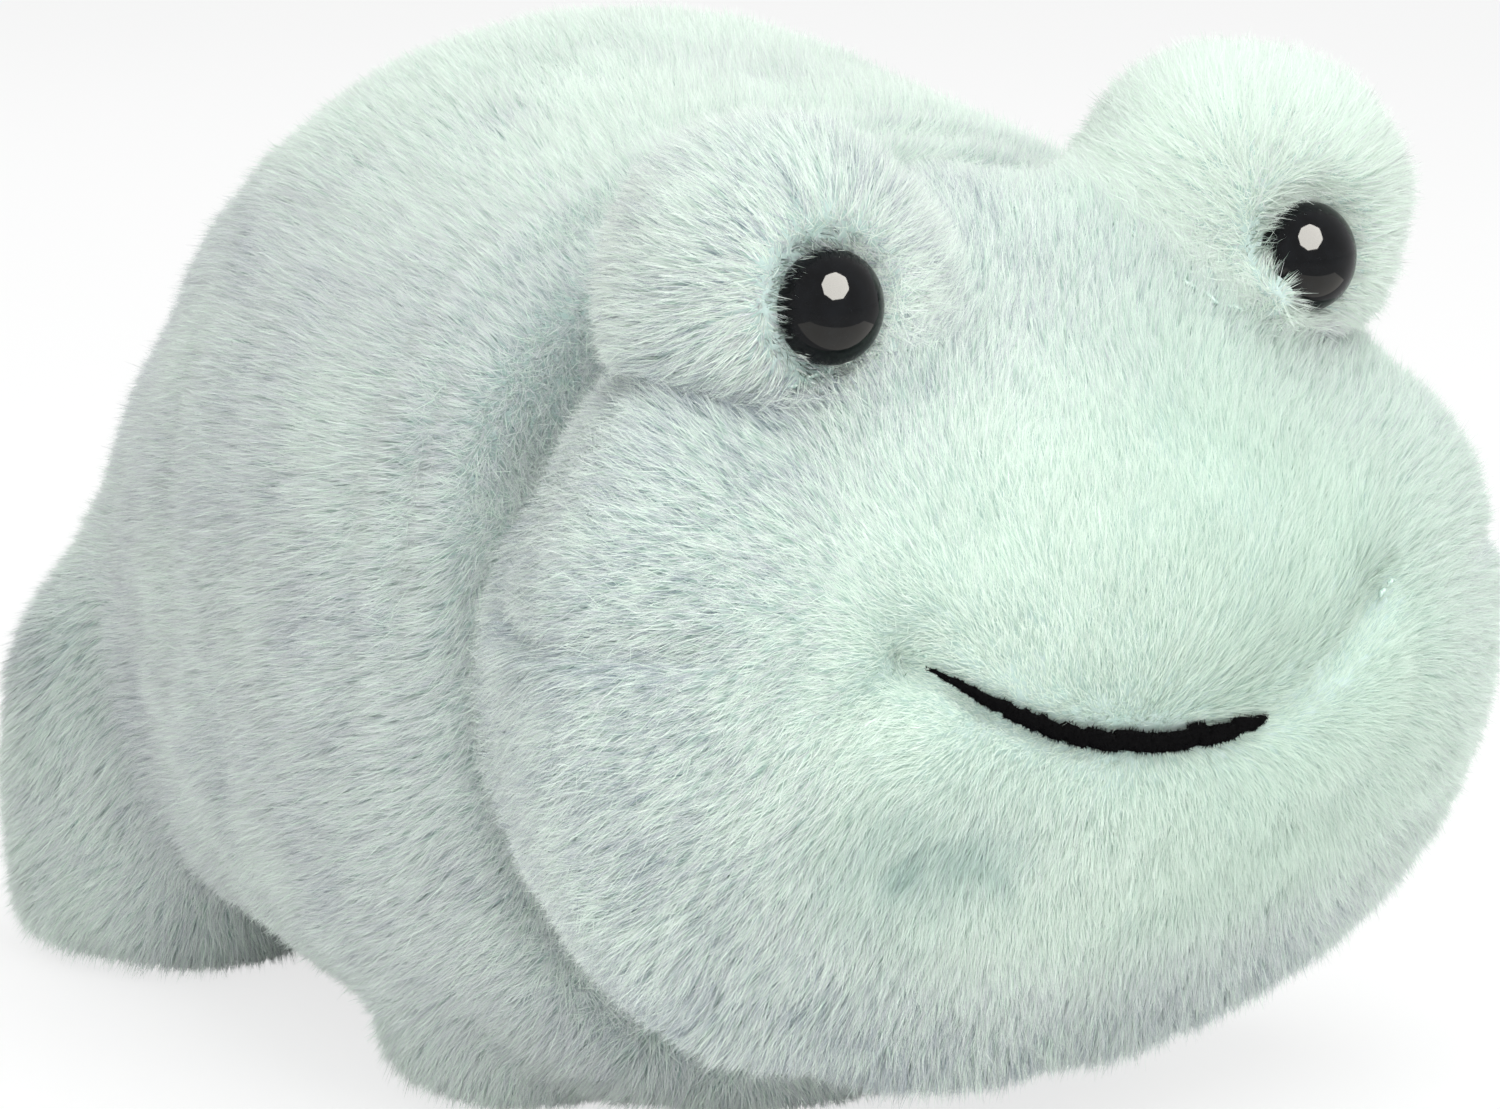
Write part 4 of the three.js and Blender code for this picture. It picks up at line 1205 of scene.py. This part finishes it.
class FROG_OT_seams(bpy.types.Operator):
    """Sews the neck, legs and eye mounds with rows of stitches"""

    bl_idname = "frog.seams"
    bl_label = "Seams"

    def execute(self, context):
        material = sewing_thread()
        head = tree_of(bpy.data.objects["head_skin"].data)
        body = tree_of(bpy.data.objects["body_skin"].data)
        seams = {"neck_thread": body}
        for side, _ in SIDES:
            seams[f"front_leg_thread_{side}"] = body
            seams[f"hind_leg_thread_{side}"] = body
            seams[f"eye_mound_thread_{side}"] = head
        for node, skin in seams.items():
            snapped = []
            for point in loop_of(node, SEAM_BINS):
                place, normal, _, _ = skin.find_nearest(Vector(point))
                snapped.append(place + normal * STITCH_LIFT)
            name = node.replace("thread", "stitches")
            row = stitches(name, np.array(snapped), STITCH_THICKNESS, STITCH_LENGTH)
            piece = link(row, name, material)
            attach(piece, "root")
            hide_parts(node)
        for side, sign in SIDES:
            place, normal = front_of(head, MOUTH_SHIFT + sign * CORNER_ASIDE, CORNER_HEIGHT)
            offsets = [Vector((sign * dx * MM, 0, dz * MM)) for dx, dz in CORNER_POINTS]
            line = np.array([place + normal * STITCH_LIFT + offset for offset in offsets])
            name = f"mouth_corner_stitch_{side}"
            row = stitches(name, line, CORNER_THICKNESS, CORNER_LENGTH, closed=False)
            piece = link(row, name, material)
            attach(piece, "root")
            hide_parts(f"mouth_tie_{side}")
        return {"FINISHED"}


# Inside


def hollow_fibre():
    """Hollow polyester fibre: white, matt and cloudy."""
    # Fibre bunches about every 10 mm
    clouds = ("ShaderNodeTexNoise", {"Scale": every(10), "Detail": 6.0})
    stops = [(0.3, linear("#dddcd6")), (0.7, linear("#f4f3ee"))]
    relief = {"Strength": 0.6, "Distance": 1.0 * MM}
    return patterned("hollow_fibre", {"Roughness": 1.0, "Sheen Weight": 0.4}, clouds, "Fac", stops, relief)


def plain_weave():
    """Plain woven polycotton of the pouch: off-white threads crossing every 0.5 mm."""
    weave = ("ShaderNodeTexChecker", {"Scale": every(0.5)})
    stops = [(0.0, linear("#d6d1c2")), (1.0, linear("#e9e5da"))]
    return patterned("woven_polycotton", {"Roughness": 0.9}, weave, "Fac", stops)


def packed_pellets():
    """Polypropylene pellets about 3 mm across, packed against each other."""
    cells = ("ShaderNodeTexVoronoi", {"Scale": every(3.03)})
    stops = [(0.1, linear("#f0f0ec")), (0.8, linear("#b9b9b4"))]
    relief = {"Strength": 1.0, "Distance": 1.2 * MM, "invert": True}
    finish = {"Roughness": 0.45, "IOR": 1.49}
    return patterned("polypropylene_pellets", finish, cells, "Distance", stops, relief)


def moulded_nylon():
    """Moulded nylon of the washers: milky white, slightly waxy."""
    # Cloudy patches of the moulding, about 2.5 mm across
    mottle = ("ShaderNodeTexNoise", {"Scale": every(2.5)})
    stops = [(0.3, linear("#d6d6d0")), (0.7, linear("#e4e4df"))]
    return patterned("moulded_nylon", {"Roughness": 0.4, "IOR": 1.53}, mottle, "Fac", stops)


class FROG_OT_inside(bpy.types.Operator):
    """Finishes the pouch, its pellets and the eye washers"""

    bl_idname = "frog.inside"
    bl_label = "Pouch and washers"

    def execute(self, context):
        finishes = {
            plain_weave(): ["pellet_pouch"],
            packed_pellets(): ["pellet_fill"],
            moulded_nylon(): [f"eye_washer_{side}" for side, _ in SIDES],
        }
        for material, nodes in finishes.items():
            for node in nodes:
                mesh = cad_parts[node].data
                mesh.materials.clear()
                mesh.materials.append(material)
        return {"FINISHED"}


# Stage
FLOOR_REACH = 6.0
FLOOR_WHITE_SHARE, WORLD_LEVEL = 0.75, 0.64
TOY_MIDDLE, FRONT_FOOT = Vector((0, 0, 0.07)), Vector((-0.02, -0.03, 0.02))
# Name, power, azimuth and elevation in degrees, distance and width in metres, and what each lamp points at
LAMPS = (
    ("key_light", "key_power", 8, 71, 1.3, 1.0, TOY_MIDDLE),
    ("fill_light", "fill_power", -62, 12, 1.4, 1.4, TOY_MIDDLE),
    # Two weaker lights keep the far side and the back as pale as they are
    ("side_light", "side_power", 75, 18, 1.4, 1.4, TOY_MIDDLE),
    ("back_light", "side_power", 185, 35, 1.4, 1.4, TOY_MIDDLE),
    ("bounce_light", "bounce_power", -35, 6, 0.45, 0.3, FRONT_FOOT),
)
# The pale table before the toy shows in the lower part of each eye
TABLE_GLEAM = 3.0
TABLE_PLAN = ((-0.3, -0.34), (0.3, -0.34), (0.3, -0.14), (-0.3, -0.14))
TABLE_CORNERS = [Vector((x, y, 0.002)) for x, y in TABLE_PLAN]
CAMERA_TARGET, CAMERA_DISTANCE = Vector((-0.3, -12.5, 70.5)) * MM, 0.7
CAMERA_AZIMUTH, CAMERA_ELEVATION = -33.0, 11.1
# 4860 pixels of focal length on the photograph's 1500 pixels of width
FOCAL_PIXELS, PHOTO_WIDTH_PIXELS, SENSOR_WIDTH = 4860, 1500, 36.0


def seen_share(tree):
    """1 where the camera looks straight or through gloss or glass, and 0 for light that falls on things."""
    path = add_node(tree, "ShaderNodeLightPath")
    share = path.outputs["Is Camera Ray"]
    for ray in ("Is Glossy Ray", "Is Transmission Ray"):
        either = add_node(tree, "ShaderNodeMath", {"operation": "MAXIMUM"})
        tree.links.new(share, either.inputs[0])
        tree.links.new(path.outputs[ray], either.inputs[1])
        share = either.outputs[0]
    return share


def pale_floor(stage):
    """Matt white studio card. Where it is only looked at it is nearer to white, and it keeps the shadow."""
    finish = {"Roughness": 0.9, "Base Color": opaque(stage.floor)}
    material, tree, shader = new_material("studio_card", finish)
    share = add_node(tree, "ShaderNodeMath", {"operation": "MULTIPLY"})
    tree.links.new(seen_share(tree), share.inputs[0])
    share.inputs[1].default_value = FLOOR_WHITE_SHARE
    glow = add_node(tree, "ShaderNodeEmission", {"Color": (1, 1, 1, 1), "Strength": 1.0})
    mix = add_node(tree, "ShaderNodeMixShader", links={"Fac": share.outputs[0]})
    tree.links.new(shader.outputs[0], mix.inputs[1])
    tree.links.new(glow.outputs[0], mix.inputs[2])
    tree.links.new(mix.outputs[0], tree.nodes["Material Output"].inputs["Surface"])
    return material


def soft_world():
    """An even white studio around the object, plain white where it is seen."""
    world = bpy.data.worlds.new("studio")
    bpy.context.scene.world = world
    world.use_nodes = True
    tree = world.node_tree
    levels = {"From Min": 0.0, "From Max": 1.0, "To Min": WORLD_LEVEL, "To Max": 1.0}
    level = add_node(tree, "ShaderNodeMapRange", levels, {"Value": seen_share(tree)})
    background = tree.nodes["Background"]
    background.inputs["Color"].default_value = (1, 1, 1, 1)
    tree.links.new(level.outputs[0], background.inputs["Strength"])


def direction_to(azimuth, elevation):
    a, e = math.radians(azimuth), math.radians(elevation)
    return Vector((math.sin(a) * math.cos(e), -math.cos(a) * math.cos(e), math.sin(e)))


def aimed(name, data, azimuth, elevation, distance, target):
    """A lamp or camera that looks at its target from this side."""
    back = direction_to(azimuth, elevation)
    holder = bpy.data.objects.new(name, data)
    bpy.context.scene.collection.objects.link(holder)
    holder.location = target + back * distance
    holder.rotation_mode = "QUATERNION"
    holder.rotation_quaternion = (-back).to_track_quat("-Z", "Y")
    return holder


def gleam_panel(name, corners, strength):
    """A flat lit panel that shows only in the gloss of the eyes."""
    material, tree, _ = new_material(f"{name}_cloth", {})
    glow = add_node(tree, "ShaderNodeEmission", {"Color": linear("#fbf8f0"), "Strength": strength})
    tree.links.new(glow.outputs[0], tree.nodes["Material Output"].inputs["Surface"])
    panel = link(mesh_of(name, corners, [range(len(corners))]), name, material, smooth=False)
    panel.visible_camera = panel.visible_diffuse = panel.visible_shadow = False


def soft_box_corners(sides=8, radius=0.38, distance=0.9):
    """An eight-sided soft box above the camera's right."""
    eyes = Vector((0, -88, 120)) * MM
    back = direction_to(6, 36)
    turn = back.to_track_quat("Z", "Y")
    middle = eyes + back * distance
    angles = [math.tau * (k + 0.5) / sides for k in range(sides)]
    return [middle + turn @ Vector((radius * math.cos(a), radius * math.sin(a), 0)) for a in angles]


class FROG_OT_stage(bpy.types.Operator):
    """Sets the floor, the soft light and the camera"""

    bl_idname = "frog.stage"
    bl_label = "Stage"

    def execute(self, context):
        stage = context.scene.frog_stage
        context.scene.view_settings.view_transform = "Standard"
        corners = [(x * FLOOR_REACH, y * FLOOR_REACH, 0) for x, y in ((-1, -1), (1, -1), (1, 1), (-1, 1))]
        floor = link(mesh_of("floor", corners, [(0, 1, 2, 3)]), "floor", pale_floor(stage), smooth=False)
        soft_world()
        for name, power_name, azimuth, elevation, distance, width, target in LAMPS:
            light = bpy.data.lights.new(name, "AREA")
            light.shape, light.size, light.energy = "DISK", width, getattr(stage, power_name)
            aimed(name, light, azimuth, elevation, distance, target).visible_glossy = False
        gleam_panel("soft_box", soft_box_corners(), stage.gleam_strength)
        gleam_panel("table_gleam", TABLE_CORNERS, TABLE_GLEAM)
        lens = bpy.data.cameras.new("camera")
        lens.sensor_width = SENSOR_WIDTH
        lens.lens = FOCAL_PIXELS / PHOTO_WIDTH_PIXELS * SENSOR_WIDTH
        lens.clip_start, lens.clip_end = 0.01, 50
        view = aimed("camera", lens, CAMERA_AZIMUTH, CAMERA_ELEVATION, CAMERA_DISTANCE, CAMERA_TARGET)
        context.scene.camera = view
        return {"FINISHED"}


OPERATORS = (
    FROG_OT_body,
    FROG_OT_head,
    FROG_OT_eyes,
    FROG_OT_mouth,
    FROG_OT_seams,
    FROG_OT_inside,
    FROG_OT_stage,
)
GROUPS = (("frog_sizes", FrogSizes), ("frog_colours", FrogColours), ("frog_stage", FrogStage))


class FROG_PT_panel(bpy.types.Panel):
    """Lists the frog's sizes, colours and pieces"""

    bl_label = "Plush frog"
    bl_space_type = "VIEW_3D"
    bl_region_type = "UI"
    bl_category = "Frog"

    def draw(self, context):
        for name, group in GROUPS:
            box = self.layout.box()
            for prop in group.__annotations__:
                box.prop(getattr(context.scene, name), prop)
        for operator in OPERATORS:
            self.layout.operator(operator.bl_idname)


def register():
    for name, group in GROUPS:
        bpy.utils.register_class(group)
        setattr(bpy.types.Scene, name, PointerProperty(type=group))
    for kind in (*OPERATORS, FROG_PT_panel):
        bpy.utils.register_class(kind)


def unregister():
    for kind in (FROG_PT_panel, *reversed(OPERATORS)):
        bpy.utils.unregister_class(kind)
    for name, group in reversed(GROUPS):
        delattr(bpy.types.Scene, name)
        bpy.utils.unregister_class(group)


def main():
    register()
    bpy.ops.frog.body()
    bpy.ops.frog.head()
    bpy.ops.frog.eyes()
    bpy.ops.frog.mouth()
    bpy.ops.frog.seams()
    bpy.ops.frog.inside()
    bpy.ops.frog.stage()


if __name__ == "__main__":
    main()
